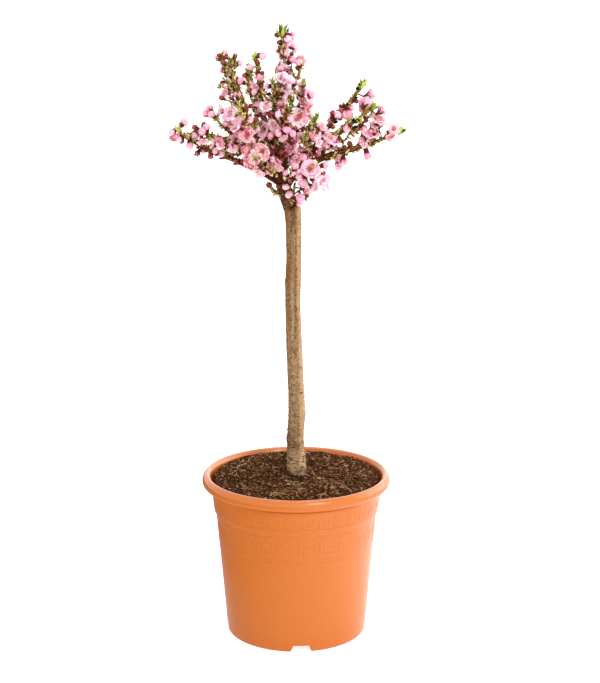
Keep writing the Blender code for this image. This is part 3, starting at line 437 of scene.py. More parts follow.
BARE = (
    (293, 90, 2.5), (250, 75, 2.5), (369, 87, 2.5), (301, 120, 2.5), (360, 95, 2.5),
    (261, 144, 2.5), (240, 149, 2.5), (272, 165, 2), (232, 108, 2.5), (221, 140, 2.5),
    (362, 139, 2.5), (325, 127, 2.5), (371, 100, 2.5), (373, 112, 2.5), (265, 122, 2),
    (239, 118, 2.5), (279, 140, 2), (286, 81, 2.5), (233, 150, 2.5), (301, 133, 2),
    (270, 139, 4.5), (279, 145, 3.5), (260, 138, 3), (305, 143, 4), (312, 125, 4.5), (316, 115, 3.5),
    (283, 119, 3), (290, 106, 3), (248, 115, 3), (239, 106, 4), (280, 174, 5), (281, 181, 4.5),
    (276, 169, 3.5), (325, 157, 5), (335, 155, 4), (240, 151, 4), (268, 160.5, 2.5), (291, 159.5, 2),
    (262, 118, 2.5), (273.5, 82, 4), (288, 203, 5), (296, 203, 3), (243, 120, 3), (249, 112, 3),
    (287, 166, 3), (272, 153, 3), (268, 178, 5), (177, 129, 3), (199, 148, 3), (265, 153, 2.5),
    (301, 120, 2.5), (315, 157, 3), (234, 68, 4), (232, 150, 2.5), (228, 132, 3), (310, 147, 2.5),
    (270, 115, 3), (264, 122, 3), (324, 127, 4), (335, 146, 3),
)
GAPS = np.array(SKY + BARE)
SKY = np.array(SKY)
KEPT = 0.74
FILL_EVERY = (0.0040, 0.0065)
FILL_CROWDING = 0.70
LEAF_BREADTH = 0.0037
LEAFLET = (0.0058, 0.0019)
LEAF_TONES = (0, 0, 1, 1, 2)
LEAFY = 0.35

# Finer twigs than the solids have: spurs along every twig
FINER_EVERY = 0.0085
FINER_TILTS = (30, 62)
FINER_REACH = (0.0045, 0.0095)
FINER_RADIUS = 0.0009

BACK = 0.020
FULLER = 1.05
BACK_FULLER = 1.18

# Tones of petals, from the rim to the claw: 0 white, 1 pale, 2 pink, 3 rose, 4 deep, 5 cream
# These tones are partly the petals' own colour and partly painted: the white and cream rims are a painted
# highlight, and rose and deep towards the claw a painted shade inside the flower
PETAL_EDGES = (0.16, 0.45, 0.84)
WHITE_TONES = (0, 0, 0, 1)
CUP_TONES = {
    "open": ((0, 1, 1, 2), (0, 1, 2, 3), (0, 5, 2, 3), (5, 1, 1, 2), (5, 1, 2, 4), (5, 2, 3, 4)),
    "half": ((0, 1, 2, 4), (5, 1, 2, 3), (0, 5, 1, 2), (5, 5, 2, 4), (0, 2, 2, 3), (5, 2, 3, 3)),
}
BALLOON_TONES = ((0, 1, 3, 4), (5, 2, 3, 4), (0, 2, 3, 4), (5, 1, 2, 3), (1, 2, 2, 3))
BUD_TONES = ((3,), (2,), (4,), (3,))
SCALE_EDGES = (0.35, 0.75)
SCALE_TONES = ((0, 0, 1, 2, 2), (0, 1, 2, 2, 3), (0, 2, 2, 3, 4))
TONE_EDGES = (0.25, 0.70, 0.92)
SCALE_EVERY = 0.0015
KNOB = 0.0006

# The studio: floor, sky, and lamps by compass angle, rise, strength and width in degrees
FLOOR_SIZE = 90.0
FLOOR_GLOW = 0.42
FLOOR_LIFT = 0.30
CARD_REACH = 0.25
CARD_GLOW = 1.7
SKY_LIGHT = 0.38
SKY_SHINE = 1.9
LAMPS = (
    ("key_light", -62, 36, 1.03, 16), ("side_light", 24, 20, 1.60, 50), ("top_light", 90, 84, 1.15, 26),
    ("front_light", -88, 12, 0.52, 60), ("back_light", 75, 20, 0.30, 30),
)


# Lines in space

def unit(angle, rise):
    """The direction at a compass angle and a rise, both in degrees."""
    a, r = math.radians(angle), math.radians(rise)
    return np.array([math.cos(a) * math.cos(r), math.sin(a) * math.cos(r), math.sin(r)])


def smooth_line(points, count):
    """A line of count points on a Catmull-Rom curve through the given ones."""
    p = np.array(points, float)
    p = np.vstack([2 * p[0] - p[1], p, 2 * p[-1] - p[-2]])
    spans = len(p) - 3
    line = []
    for u in np.linspace(0, spans, count):
        i = min(int(u), spans - 1)
        t = u - i
        a, b, c, d = p[i:i + 4]
        line.append(0.5 * (
            2 * b + (c - a) * t + (2 * a - 5 * b + 4 * c - d) * t ** 2
            + (3 * b - a - 3 * c + d) * t ** 3
        ))
    return np.array(line)


def bent_line(start, end, direction_in, direction_out, count=LINE_POINTS):
    """A line that leaves start in one direction and comes to end in another."""
    pull = LINE_PULL * np.linalg.norm(end - start)
    a = start + pull * direction_in
    b = end - pull * direction_out
    t = np.linspace(0, 1, count)[:, None]
    near_start = (1 - t) ** 3 * start + 3 * (1 - t) ** 2 * t * a
    near_end = 3 * (1 - t) * t ** 2 * b + t ** 3 * end
    return near_start + near_end


def length_of(line):
    return float(np.linalg.norm(np.diff(line, axis=0), axis=1).sum())


def along(line, shares):
    """The points at these shares of the line's length."""
    steps = np.linalg.norm(np.diff(line, axis=0), axis=1)
    at = np.concatenate([[0.0], np.cumsum(steps)])
    wanted = np.asarray(shares, float) * at[-1]
    return np.stack([np.interp(wanted, at, line[:, k]) for k in range(3)], axis=-1)


def stretch(line, start, end, count):
    return along(line, np.linspace(start, end, count))


def compass_point(angle, reach, height):
    a = math.radians(angle)
    return np.array([reach * math.cos(a), reach * math.sin(a), height])


def limb_lines():
    """The centre line of the trunk and of every limb, from its parent's centre line to its tip."""
    lines = {"trunk": smooth_line(TRUNK_LINE, 73)}
    for name, limb in LIMBS.items():
        start = along(lines[limb.parent], limb.at)
        end = compass_point(limb.angle, limb.reach, limb.height)
        heading = math.degrees(math.atan2(end[1] - start[1], end[0] - start[0]))
        line = bent_line(
            start, end, unit(heading + limb.turn, limb.rise_in), unit(heading, limb.rise_out)
        )
        lines[name] = stretch(line, 0, 1, LINE_POINTS)
    return lines


def limb_radius(limb, share):
    """A limb thins evenly along its bough, and then evenly to its tip."""
    bough_end = limb.radius * BOUGH_END_SHARE
    return np.interp(share, [0, limb.bough, 1], [limb.radius, bough_end, TIP_RADIUS])


def trunk_radius(height):
    return np.interp(height, *zip(*TRUNK_GIRTH))


# The rule of growth

def main_twigs(name, lines):
    """The stem of a shoot and its forks."""
    if name in SPURS:
        spur = SPURS[name]
        foot = along(lines["trunk"], spur.at)
        out = unit(spur.angle, spur.rise)
        reach = trunk_radius(foot[2]) + spur.length
        end = foot + reach * unit(spur.angle, spur.rise + SPUR_LIFT[0])
        line = bent_line(foot, end, out, unit(spur.angle, spur.rise + SPUR_LIFT[1]), 13)
        return [Twig(line, SPUR_RADIUS, TIP_RADIUS, 0.0, SPUR_END_SHARE)]
    limb = LIMBS[name]
    whole = length_of(lines[name])
    stem = stretch(lines[name], limb.bough + GAP / whole, 1 - TUFT_REACH / whole, 25)
    twigs = [Twig(stem, limb_radius(limb, limb.bough), TIP_RADIUS, 0.0, 1.0)]
    for fork in FORKS:
        if fork.limb == name:
            start = along(lines[name], fork.at)
            end = compass_point(fork.angle, fork.reach, fork.height)
            heading = math.degrees(math.atan2(end[1] - start[1], end[0] - start[0]))
            line = bent_line(start, end, unit(heading, fork.rise_in), unit(heading, fork.rise_out))
            line = stretch(line, 0, 1 - TUFT_REACH / length_of(line), 13)
            share = (fork.at - limb.bough) / (1 - limb.bough)
            twigs.append(Twig(line, FORK_RADIUS, TIP_RADIUS, share, 1.0))
    return twigs


class Space:
    """Which shoot each place belongs to, and where the trunk and boughs are."""

    def __init__(self, lines):
        self.mains = {name: main_twigs(name, lines) for name in list(LIMBS) + list(SPURS)}
        self.stems = {
            name: np.vstack([stretch(t.points, 0, 1, 40) for t in twigs])
            for name, twigs in self.mains.items()
        }
        trunk = stretch(lines["trunk"], 0.6, 1, 90)
        wood = [trunk]
        radii = [trunk_radius(trunk[:, 2])]
        for name, limb in LIMBS.items():
            wood.append(stretch(lines[name], 0, limb.bough, 40))
            radii.append(limb_radius(limb, np.linspace(0, limb.bough, 40)))
        self.wood = np.vstack(wood)
        self.wood_radii = np.concatenate(radii)

    def holds(self, name, points, margin=SPACE_MARGIN, clearance=LIMB_CLEARANCE):
        """Whether all these points are in the shoot's own space and clear of the limbs."""
        own = np.linalg.norm(points[:, None] - self.stems[name][None], axis=2).min(axis=1)
        for other, stem in self.stems.items():
            if other == name:
                continue
            far = np.linalg.norm(points[:, None] - stem[None], axis=2).min(axis=1)
            if (far < own + 2 * margin).any() or (far < STEM_CLEARANCE).any():
                return False
        wood = np.linalg.norm(points[:, None] - self.wood[None], axis=2) - self.wood_radii
        return bool((wood > clearance).all())


def side_directions(along_twig):
    """Two directions square to a twig, the first as level as can be."""
    level = np.cross(along_twig, (0.0, 0.0, 1.0))
    if np.linalg.norm(level) < 0.05:
        level = np.cross(along_twig, (0.0, 1.0, 0.0))
    level /= np.linalg.norm(level)
    return level, np.cross(level, along_twig)


def leaning(along_twig, angle, tilt):
    """The direction that leans away from a twig by tilt, on the side given by angle."""
    level, raised = side_directions(along_twig)
    side = math.cos(angle) * level + math.sin(angle) * raised
    return math.cos(tilt) * along_twig + math.sin(tilt) * side


def direction_at(line, share):
    ends = along(line, (max(share - 0.03, 0), min(share + 0.03, 1)))
    return (ends[1] - ends[0]) / np.linalg.norm(ends[1] - ends[0])


def side_twigs(name, space, draw):
    """Short twigs along each main twig, longest near its foot. A spur has none."""
    twigs = []
    for main in space.mains[name] if name in LIMBS else ():
        long = length_of(main.points)
        count = max(1, int(long / TWIG_EVERY))
        angle = draw.uniform(0, 2 * math.pi)
        for k in range(count):
            step = (k + draw.uniform(0.1, 0.6)) / count
            share = TWIG_SHARES[0] + (TWIG_SHARES[1] - TWIG_SHARES[0]) * step
            spare = (TWIG_LONGEST - TWIG_SHORTEST) * (1 - share)
            reach = TWIG_SHORTEST + spare * draw.uniform(0.5, 1)
            tilt = math.radians(draw.uniform(*TWIG_TILTS))
            for attempt in range(TWIG_TRIES):
                angle += GOLDEN_TURN
                start = along(main.points, share)
                onward = direction_at(main.points, share)
                out = leaning(onward, angle, tilt)
                later = 0.6 * onward + 0.6 * out + np.array([0, 0, TWIG_UPTURN])
                later /= np.linalg.norm(later)
                end = start + reach * (0.55 * out + 0.45 * later)
                line = bent_line(start, end, out, later, 9)
                if space.holds(name, line[3:], 0.0012, 0.0026):
                    at = main.start_share + share * (main.end_share - main.start_share)
                    spent = min(at + TWIG_SPENT, 0.99)
                    twigs.append(Twig(line, TWIG_RADIUS, 0.8 * TIP_RADIUS, at, spent))
                    break
                reach *= 0.85
    return twigs


def kind_at(share, chance):
    """Open flowers near a shoot's foot, more and more buds towards its tip."""
    opened = OPEN_AT_FOOT - OPEN_LOST * share
    balloon = BALLOON_AT_FOOT + BALLOON_GAINED * share
    edges = np.cumsum([opened, HALF_OPEN, balloon])
    return KINDS[int(np.searchsorted(edges, chance))]


def test_points(bloom):
    """Points on the outline of one flower, bud or leaf."""
    radius, height = (bloom.size * v for v in REACHES[bloom.kind])
    first, second = side_directions(bloom.direction)
    cup = bloom.kind in CUPS
    points = [bloom.root + bloom.direction * height]
    for level, share in ((1.0 if cup else 0.6, 1.0), (0.8 if cup else 0.95, 0.55)):
        for k in range(8):
            a = k * math.pi / 4
            side = math.cos(a) * first + math.sin(a) * second
            points.append(bloom.root + bloom.direction * height * level + side * radius * share)
    return np.array(points)


def blooms_of(name, space, twigs, draw):
    """The blossom of a shoot, and a tuft of leaves at the tip of each twig."""
    blooms = []
    middles = []
    for twig in twigs:
        long = length_of(twig.points)
        angle = draw.uniform(0, 2 * math.pi)
        place = draw.uniform(0.2, 0.9) * NODE_EVERY
        while place < long - 0.002:
            share = place / long
            angle += GOLDEN_TURN + draw.uniform(-0.3, 0.3)
            root = along(twig.points, share)
            onward = direction_at(twig.points, share)
            whole = twig.start_share + share * (twig.end_share - twig.start_share)
            kind = kind_at(whole, draw.random())
            tilts = FLOWER_TILTS if kind in CUPS else BUD_TILTS
            tilt = math.radians(draw.uniform(*tilts))
            size = draw.uniform(0.84, 1.0)
            spin = draw.uniform(0, 2 * math.pi)
            for smaller in KINDS[KINDS.index(kind):]:
                bloom = Bloom(smaller, root, leaning(onward, angle, tilt), spin, size)
                radius, height = (size * v for v in REACHES[smaller])
                middle = root + bloom.direction * height * 0.8
                room = radius * (0.75 if smaller in CUPS else 1.0)
                crowded = any(
                    np.linalg.norm(middle - m) < CROWDING * (room + r) for m, r in middles
                )
                if not crowded and space.holds(name, test_points(bloom)):
                    blooms.append(bloom)
                    middles.append((middle, room))
                    break
            place += NODE_EVERY * draw.uniform(1 - NODE_UNEVEN, 1 + NODE_UNEVEN)
        onward = direction_at(twig.points, 1.0)
        root = twig.points[-1] - onward * 0.0015
        angle = draw.uniform(0, 2 * math.pi)
        leading = name in LIMBS and twig.end_share == 1.0
        for k in range(TUFT_LEAVES if leading else 1):
            lean = math.radians(draw.uniform(*LEAF_LEANS) if leading else 8)
            size = draw.uniform(0.8, 1.0)
            kind = "leaf" if leading else "bud"
            tip = Bloom(kind, root, leaning(onward, angle + k * GOLDEN_TURN, lean), 0.0, size)
            if space.holds(name, test_points(tip)):
                blooms.append(tip)
    return blooms


def shoots(lines):
    """Every shoot by name: its twigs and its blossom."""
    space = Space(lines)
    grown = {}
    for name in space.mains:
        draw = random.Random("nectarine " + name)
        twigs = space.mains[name] + side_twigs(name, space, draw)
        grown[name] = (twigs, blooms_of(name, space, twigs, draw))
    return grown


# Blossom in the places that the photograph shows

def sight_line(column, row):
    """The unit direction from the camera through a point of the frame."""
    across = (column - FRAME_WIDTH / 2) / FOCAL_PIXELS
    down = (row - FRAME_HEIGHT / 2) / FOCAL_PIXELS
    forward = np.array([0.0, math.cos(CAMERA_DOWN), -math.sin(CAMERA_DOWN)])
    below = np.array([0.0, -math.sin(CAMERA_DOWN), -math.cos(CAMERA_DOWN)])
    line = forward + across * np.array([1.0, 0.0, 0.0]) + down * below
    return line / np.linalg.norm(line)


def in_frame(points):
    """Column and row of points, and how far they are in front of the camera."""
    away = np.asarray(points) - CAMERA_PLACE
    forward = away[..., 1] * math.cos(CAMERA_DOWN) - away[..., 2] * math.sin(CAMERA_DOWN)
    below = -away[..., 1] * math.sin(CAMERA_DOWN) - away[..., 2] * math.cos(CAMERA_DOWN)
    column = FRAME_WIDTH / 2 + FOCAL_PIXELS * away[..., 0] / forward
    row = FRAME_HEIGHT / 2 + FOCAL_PIXELS * below / forward
    return np.stack([column, row], -1), forward


def wood_points(lines, grown):
    """Points along every bough and twig, with the wood's radius at each."""
    points, radii = [], []
    for name, limb in LIMBS.items():
        shares = np.linspace(0.2 * limb.bough, limb.bough, 24)
        points.append(along(lines[name], shares))
        radii.append(limb_radius(limb, shares))
    trunk = stretch(lines["trunk"], 0.86, 0.99, 24)
    points.append(trunk)
    radii.append(trunk_radius(trunk[:, 2]))
    for twigs, blooms in grown.values():
        for twig in twigs:
            count = max(4, int(length_of(twig.points) / 0.002))
            points.append(stretch(twig.points, 0.0, 1.0, count))
            radii.append(np.linspace(twig.start_radius, twig.end_radius, count))
    return np.vstack(points), np.concatenate(radii)


def held_bloom(seen, wood, radii):
    """The bloom whose middle is where the photograph shows it, and the wood that holds it."""
    line = sight_line(seen.column, seen.row)
    radius, height = (seen.size * v for v in REACHES[seen.kind])
    behind = DEPTH_WEIGHT * (wood[:, 1] + LIP_RADIUS)
    if seen.kind in CUPS:
        direction = unit(seen.turn - 90, seen.lift)
        offset = direction * height * CUP_MIDDLE
        reach = (wood + offset - CAMERA_PLACE) @ line
        middles = CAMERA_PLACE + reach[:, None] * line
        roots = middles - offset
        gap = np.linalg.norm(roots - wood, axis=1)
        best = int(np.argmin(np.abs(gap - radii - STALK) + behind))
        root = roots[best]
    else:
        reach = (wood - CAMERA_PLACE) @ line
        nearest = CAMERA_PLACE + reach[:, None] * line
        gap = np.linalg.norm(nearest - wood, axis=1)
        want = radii + height * 0.55
        best = int(np.argmin(np.abs(gap - 0.85 * want) + behind))
        nearer = math.sqrt(max(want[best] ** 2 - gap[best] ** 2, 0.0))
        middle = nearest[best] - nearer * line
        direction = middle - wood[best]
        direction /= np.linalg.norm(direction)
        root = middle - direction * height * 0.6
    return Bloom(seen.kind, root, direction, seen.column % 6.0, seen.size, seen.pale), wood[best]


def middle_of(bloom):
    radius, height = (bloom.size * v for v in REACHES[bloom.kind])
    return bloom.root + bloom.direction * height * 0.7


def room_of(bloom):
    return bloom.size * REACHES[bloom.kind][0] * (0.72 if bloom.kind in CUPS else 1.0)


class Crown:
    """All the blossom, each bloom kept clear of those before it."""

    def __init__(self):
        self.blooms, self.middles, self.rooms = [], [], []
        self.front, self.depths = [], []

    def crowded(self, bloom, ease=CROWDING):
        if not self.middles:
            return False
        gap = np.linalg.norm(np.array(self.middles) - middle_of(bloom), axis=1)
        return bool((gap < ease * (np.array(self.rooms) + room_of(bloom))).any())

    def hides(self, bloom):
        """Whether a bloom would stand before one that the photograph shows, or in a gap."""
        at, depth = in_frame(middle_of(bloom))
        near = room_of(bloom) * FOCAL_PIXELS / depth
        gap = np.linalg.norm(GAPS[:, :2] - at, axis=1) - GAPS[:, 2]
        if (gap < 0.85 * near).any():
            return True
        far = np.linalg.norm(np.array(self.front) - at, axis=1)
        return bool(((far < HIDING + 0.8 * near) & (np.array(self.depths) > depth)).any())

    def put(self, bloom, seen=False):
        self.blooms.append(bloom)
        self.middles.append(middle_of(bloom))
        self.rooms.append(room_of(bloom))
        if seen:
            at, depth = in_frame(middle_of(bloom))
            self.front.append(at)
            self.depths.append(depth)


def fill_in(crown, lines, draw):
    """Some more blossom close on the boughs, so that the middle is full."""
    for name, limb in LIMBS.items():
        long = length_of(lines[name])
        place = 0.012
        angle = draw.uniform(0, 2 * math.pi)
        while place < long * (limb.bough + 0.25):
            share = place / long
            angle += GOLDEN_TURN + draw.uniform(-0.4, 0.4)
            centre = along(lines[name], share)
            onward = direction_at(lines[name], share)
            tilt = math.radians(draw.uniform(55, 85))
            out = leaning(onward, angle, tilt)
            radius = float(limb_radius(limb, share))
            first = KINDS.index(kind_at(0.75 * share, draw.random()))
            size = draw.uniform(0.82, 1.02)
            for kind in KINDS[first:]:
                bloom = Bloom(kind, centre + out * radius * 0.8, out, draw.uniform(0, 6), size)
                if not crown.crowded(bloom, FILL_CROWDING) and not crown.hides(bloom):
                    crown.put(bloom)
                    break
            place += draw.uniform(*FILL_EVERY)


def held_tuft(tuft, wood):
    """The root, direction and length of a tuft that the photograph shows, and its stalk."""
    line = sight_line(tuft.column, tuft.row)
    reach = (wood - CAMERA_PLACE) @ line
    gap = np.linalg.norm(CAMERA_PLACE + reach[:, None] * line - wood, axis=1)
    best = int(np.argmin(gap + DEPTH_WEIGHT * (wood[:, 1] + LIP_RADIUS)))
    root = CAMERA_PLACE + (reach[best] - TUFT_NEARER) * line
    end = CAMERA_PLACE + reach[best] * sight_line(tuft.tip_column, tuft.tip_row)
    along_tuft = end - root
    long = float(np.linalg.norm(along_tuft))
    return root, along_tuft / long, long, wood[best], root


def grow_crown(lines, grown):
    """The blossom that the photograph shows, the rule's own round it, and more on the boughs."""
    crown = Crown()
    wood, radii = wood_points(lines, grown)
    stalks = []
    for seen in SEEN:
        bloom, held_by = held_bloom(seen, wood, radii)
        crown.put(bloom, seen=True)
        stalks.append((held_by, bloom.root + bloom.direction * 0.001))
    draw = random.Random("thinned")
    tips = np.array([(tuft.tip_column, tuft.tip_row) for tuft in TUFTS])
    for twigs, blooms in grown.values():
        for bloom in blooms:
            if bloom.kind == "leaf":
                at, _ = in_frame(middle_of(bloom))
                if np.linalg.norm(tips - at, axis=1).min() > TUFT_ROOM:
                    crown.put(bloom)
                continue
            if draw.random() > KEPT and bloom.root[1] < BACK:
                continue
            for kind in KINDS[KINDS.index(bloom.kind):]:
                other = bloom._replace(kind=kind)
                if not crown.crowded(other) and not crown.hides(other):
                    crown.put(other)
                    break
    fill_in(crown, lines, random.Random("fill"))
    return crown.blooms, stalks, wood


# Meshes from arrays

MOST_FACES = 90000


class Heap:
    """Many small shapes gathered as arrays of corners and faces, and joined into meshes."""

    def __init__(self):
        self.batches = [([], [], [])]
        self.corners = self.faces = 0

    def add(self, points, faces, tones=0):
        """faces holds four corner numbers a face. tones gives each face its material."""
        faces = np.asarray(faces)
        points = np.asarray(points, float).reshape(-1, 3)
        if self.faces + len(faces) > MOST_FACES:
            self.batches.append(([], [], []))
            self.corners = self.faces = 0
        batch = self.batches[-1]
        batch[0].append(points)
        batch[1].append(faces + self.corners)
        batch[2].append(np.broadcast_to(np.asarray(tones), len(faces)))
        self.corners += len(points)
        self.faces += len(faces)

    def make(self, name, materials, slot, stands_for=()):
        for number, (points, faces, tones) in enumerate(self.batches):
            label = name if number == 0 else f"{name}_{number + 1}"
            mesh = joined_mesh(label, np.vstack(points), np.vstack(faces), np.concatenate(tones))
            piece(label, mesh, materials, stands_for if number == 0 else ())


def joined_mesh(name, points, faces, tones):
    mesh = bpy.data.meshes.new(name)
    mesh.vertices.add(len(points))
    mesh.vertices.foreach_set("co", (points + PLACE).astype(np.float32).ravel())
    mesh.loops.add(faces.size)
    mesh.loops.foreach_set("vertex_index", faces.astype(np.int32).ravel())
    mesh.polygons.add(len(faces))
    mesh.polygons.foreach_set("loop_start", np.arange(len(faces), dtype=np.int32) * 4)
    mesh.update(calc_edges=True)
    mesh.polygons.foreach_set("material_index", tones.astype(np.int32))
    mesh.shade_smooth()
    return mesh


def piece(name, mesh, materials, stands_for=()):
    """A finished part of the plant or pot, with its materials and its place in the frame."""
    obj = bpy.data.objects.new(name, mesh)
    bpy.context.scene.collection.objects.link(obj)
    for material in materials:
        mesh.materials.append(material)
    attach(obj, "root")
    if stands_for:
        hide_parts(*stands_for)
    return obj


def grid_faces(rows, columns, ring=False):
    """Faces of a grid of points in rows. A ring joins each row's ends."""
    across = columns if ring else columns - 1
    r, c = np.meshgrid(np.arange(rows - 1), np.arange(across), indexing="ij")
    here, after = r.ravel() * columns + c.ravel(), r.ravel() * columns + (c.ravel() + 1) % columns
    return np.stack([here, after, after + columns, here + columns], 1)


def shell(points, thickness):
    """A thin closed sheet from a grid of points: its two faces and its rim."""
    rows, columns = points.shape[:2]
    normal = np.cross(np.gradient(points, axis=0), np.gradient(points, axis=1))
    normal /= np.linalg.norm(normal, axis=2, keepdims=True) + 1e-12
    upper = (points + normal * thickness / 2).reshape(-1, 3)
    lower = (points - normal * thickness / 2).reshape(-1, 3)
    faces = grid_faces(rows, columns)
    size = rows * columns
    index = np.arange(size).reshape(rows, columns)
    rim = np.concatenate([index[0], index[1:, -1], index[-1, -2::-1], index[-2:0:-1, 0]])
    after = np.roll(rim, -1)
    sides = np.stack([rim, after, after + size, rim + size], 1)
    return np.vstack([upper, lower]), np.vstack([faces[:, ::-1], faces + size, sides])


def sheet_tones(rows, columns, edges, lap_shade=0.0):
    """Tones of a shell's faces by how far along it they are, and further on one side: deeper on the side that
    lies under the next petal, a painted shade, and paler on the other.
    """
    level = (np.arange(rows - 1) + 0.5) / (rows - 1)
    across = np.linspace(-1, 1, columns - 1)
    tone = np.digitize(level[:, None] + lap_shade * across, edges).ravel()
    rim = np.full(2 * (rows + columns) - 4, np.digitize(0.9, edges))
    return np.concatenate([tone, tone, rim])


def tube_rings(line, radii, sides, bump=None):
    """A round tube along a line, closed to a small cap at both ends."""
    tangents = np.gradient(line, axis=0)
    tangents /= np.linalg.norm(tangents, axis=1, keepdims=True)
    first = side_directions(tangents[0])[0]
    angles = np.arange(sides) * 2 * math.pi / sides
    rings = []
    for k, onward in enumerate(tangents):
        first = first - onward * first.dot(onward)
        first /= np.linalg.norm(first)
        second = np.cross(onward, first)
        out = np.cos(angles)[:, None] * first + np.sin(angles)[:, None] * second
        reach = radii[k] if bump is None else radii[k] + bump[k]
        rings.append(line[k] + out * np.reshape(reach, (-1, 1)))
    start = line[0] + (rings[0] - line[0]) * 0.02
    end = line[-1] + (rings[-1] - line[-1]) * 0.02
    return np.array([start] + rings + [end])


def turned_faces(points):
    return grid_faces(points.shape[0], points.shape[1], ring=True)


def facing(direction, spin=0.0):
    """The turn that takes +Z to a direction, after a spin about +Z."""
    first, second = side_directions(np.asarray(direction, float))
    turn = np.stack([first, second, direction], axis=1)
    c, s = math.cos(spin), math.sin(spin)
    return turn @ np.array([[c, -s, 0], [s, c, 0], [0, 0, 1]])


def about_axis(points, turn):
    """Points turned about +Z."""
    c, s = math.cos(turn), math.sin(turn)
    return points @ np.array([[c, s, 0], [-s, c, 0], [0, 0, 1]])


# Materials

class Nodes:
    """A short way to add and join shader nodes."""

    def __init__(self, tree):
        self.tree = tree

    def add(self, kind, **values):
        node = self.tree.nodes.new("ShaderNode" + kind)
        for key, value in values.items():
            setattr(node, key, value)
        return node

    def join(self, output, node, name):
        self.tree.links.new(output, node.inputs[name])

    def place(self, scale=(1.0, 1.0, 1.0)):
        """The object's own coordinates, stretched."""
        where = self.add("TexCoord")
        mapping = self.add("Mapping")
        mapping.inputs["Scale"].default_value = scale
        self.join(where.outputs["Object"], mapping, "Vector")
        return mapping.outputs["Vector"]

    def noise(self, scale, detail=4.0, stretch=(1.0, 1.0, 1.0), rough=0.5):
        node = self.add("TexNoise")
        node.inputs["Scale"].default_value = scale
        node.inputs["Detail"].default_value = detail
        node.inputs["Roughness"].default_value = rough
        self.join(self.place(stretch), node, "Vector")
        return node.outputs["Fac"]

    def spread(self, value, low, high, to_low=0.0, to_high=1.0):
        node = self.add("MapRange")
        for name, number in (
            ("From Min", low), ("From Max", high), ("To Min", to_low), ("To Max", to_high),
        ):
            node.inputs[name].default_value = number
        self.join(value, node, "Value")
        return node.outputs["Result"]

    def sum(self, operation, first, second):
        node = self.add("Math", operation=operation)
        for index, value in enumerate((first, second)):
            if isinstance(value, (int, float)):
                node.inputs[index].default_value = value
            else:
                self.tree.links.new(value, node.inputs[index])
        return node.outputs["Value"]

    def mix(self, factor, first, second):
        node = self.add("Mix", data_type="RGBA")
        self.join(factor, node, "Factor")
        for name, value in (("A", first), ("B", second)):
            if isinstance(value, tuple):
                node.inputs[name].default_value = (*value[:3], 1.0)
            else:
                self.join(value, node, name)
        return node.outputs["Result"]


def group(name, inputs, outputs):
    """An empty shader group with its sockets."""
    tree = bpy.data.node_groups.new(name, "ShaderNodeTree")
    for socket, value in inputs:
        kind = "NodeSocketColor" if isinstance(value, tuple) else "NodeSocketFloat"
        made = tree.interface.new_socket(socket, in_out="INPUT", socket_type=kind)
        made.default_value = (*value, 1.0) if isinstance(value, tuple) else value
    for socket, kind in outputs:
        tree.interface.new_socket(socket, in_out="OUTPUT", socket_type=kind)
    return tree, tree.nodes.new("NodeGroupInput"), tree.nodes.new("NodeGroupOutput")


def mottle_group():
    """Two colours mixed by noise, and the same noise as a height."""
    tree, given, out = group("mottle", (
        ("Dark", (0.1, 0.1, 0.1)), ("Light", (0.9, 0.9, 0.9)), ("Scale", 200.0),
    ), (("Color", "NodeSocketColor"), ("Height", "NodeSocketFloat")))
    nodes = Nodes(tree)
    fine = nodes.add("TexNoise")
    fine.inputs["Detail"].default_value = 5.0
    nodes.join(nodes.place(), fine, "Vector")
    nodes.join(given.outputs["Scale"], fine, "Scale")
    amount = nodes.spread(fine.outputs["Fac"], 0.36, 0.64)
    nodes.join(nodes.mix(amount, given.outputs["Dark"], given.outputs["Light"]), out, "Color")
    nodes.join(fine.outputs["Fac"], out, "Height")
    return tree


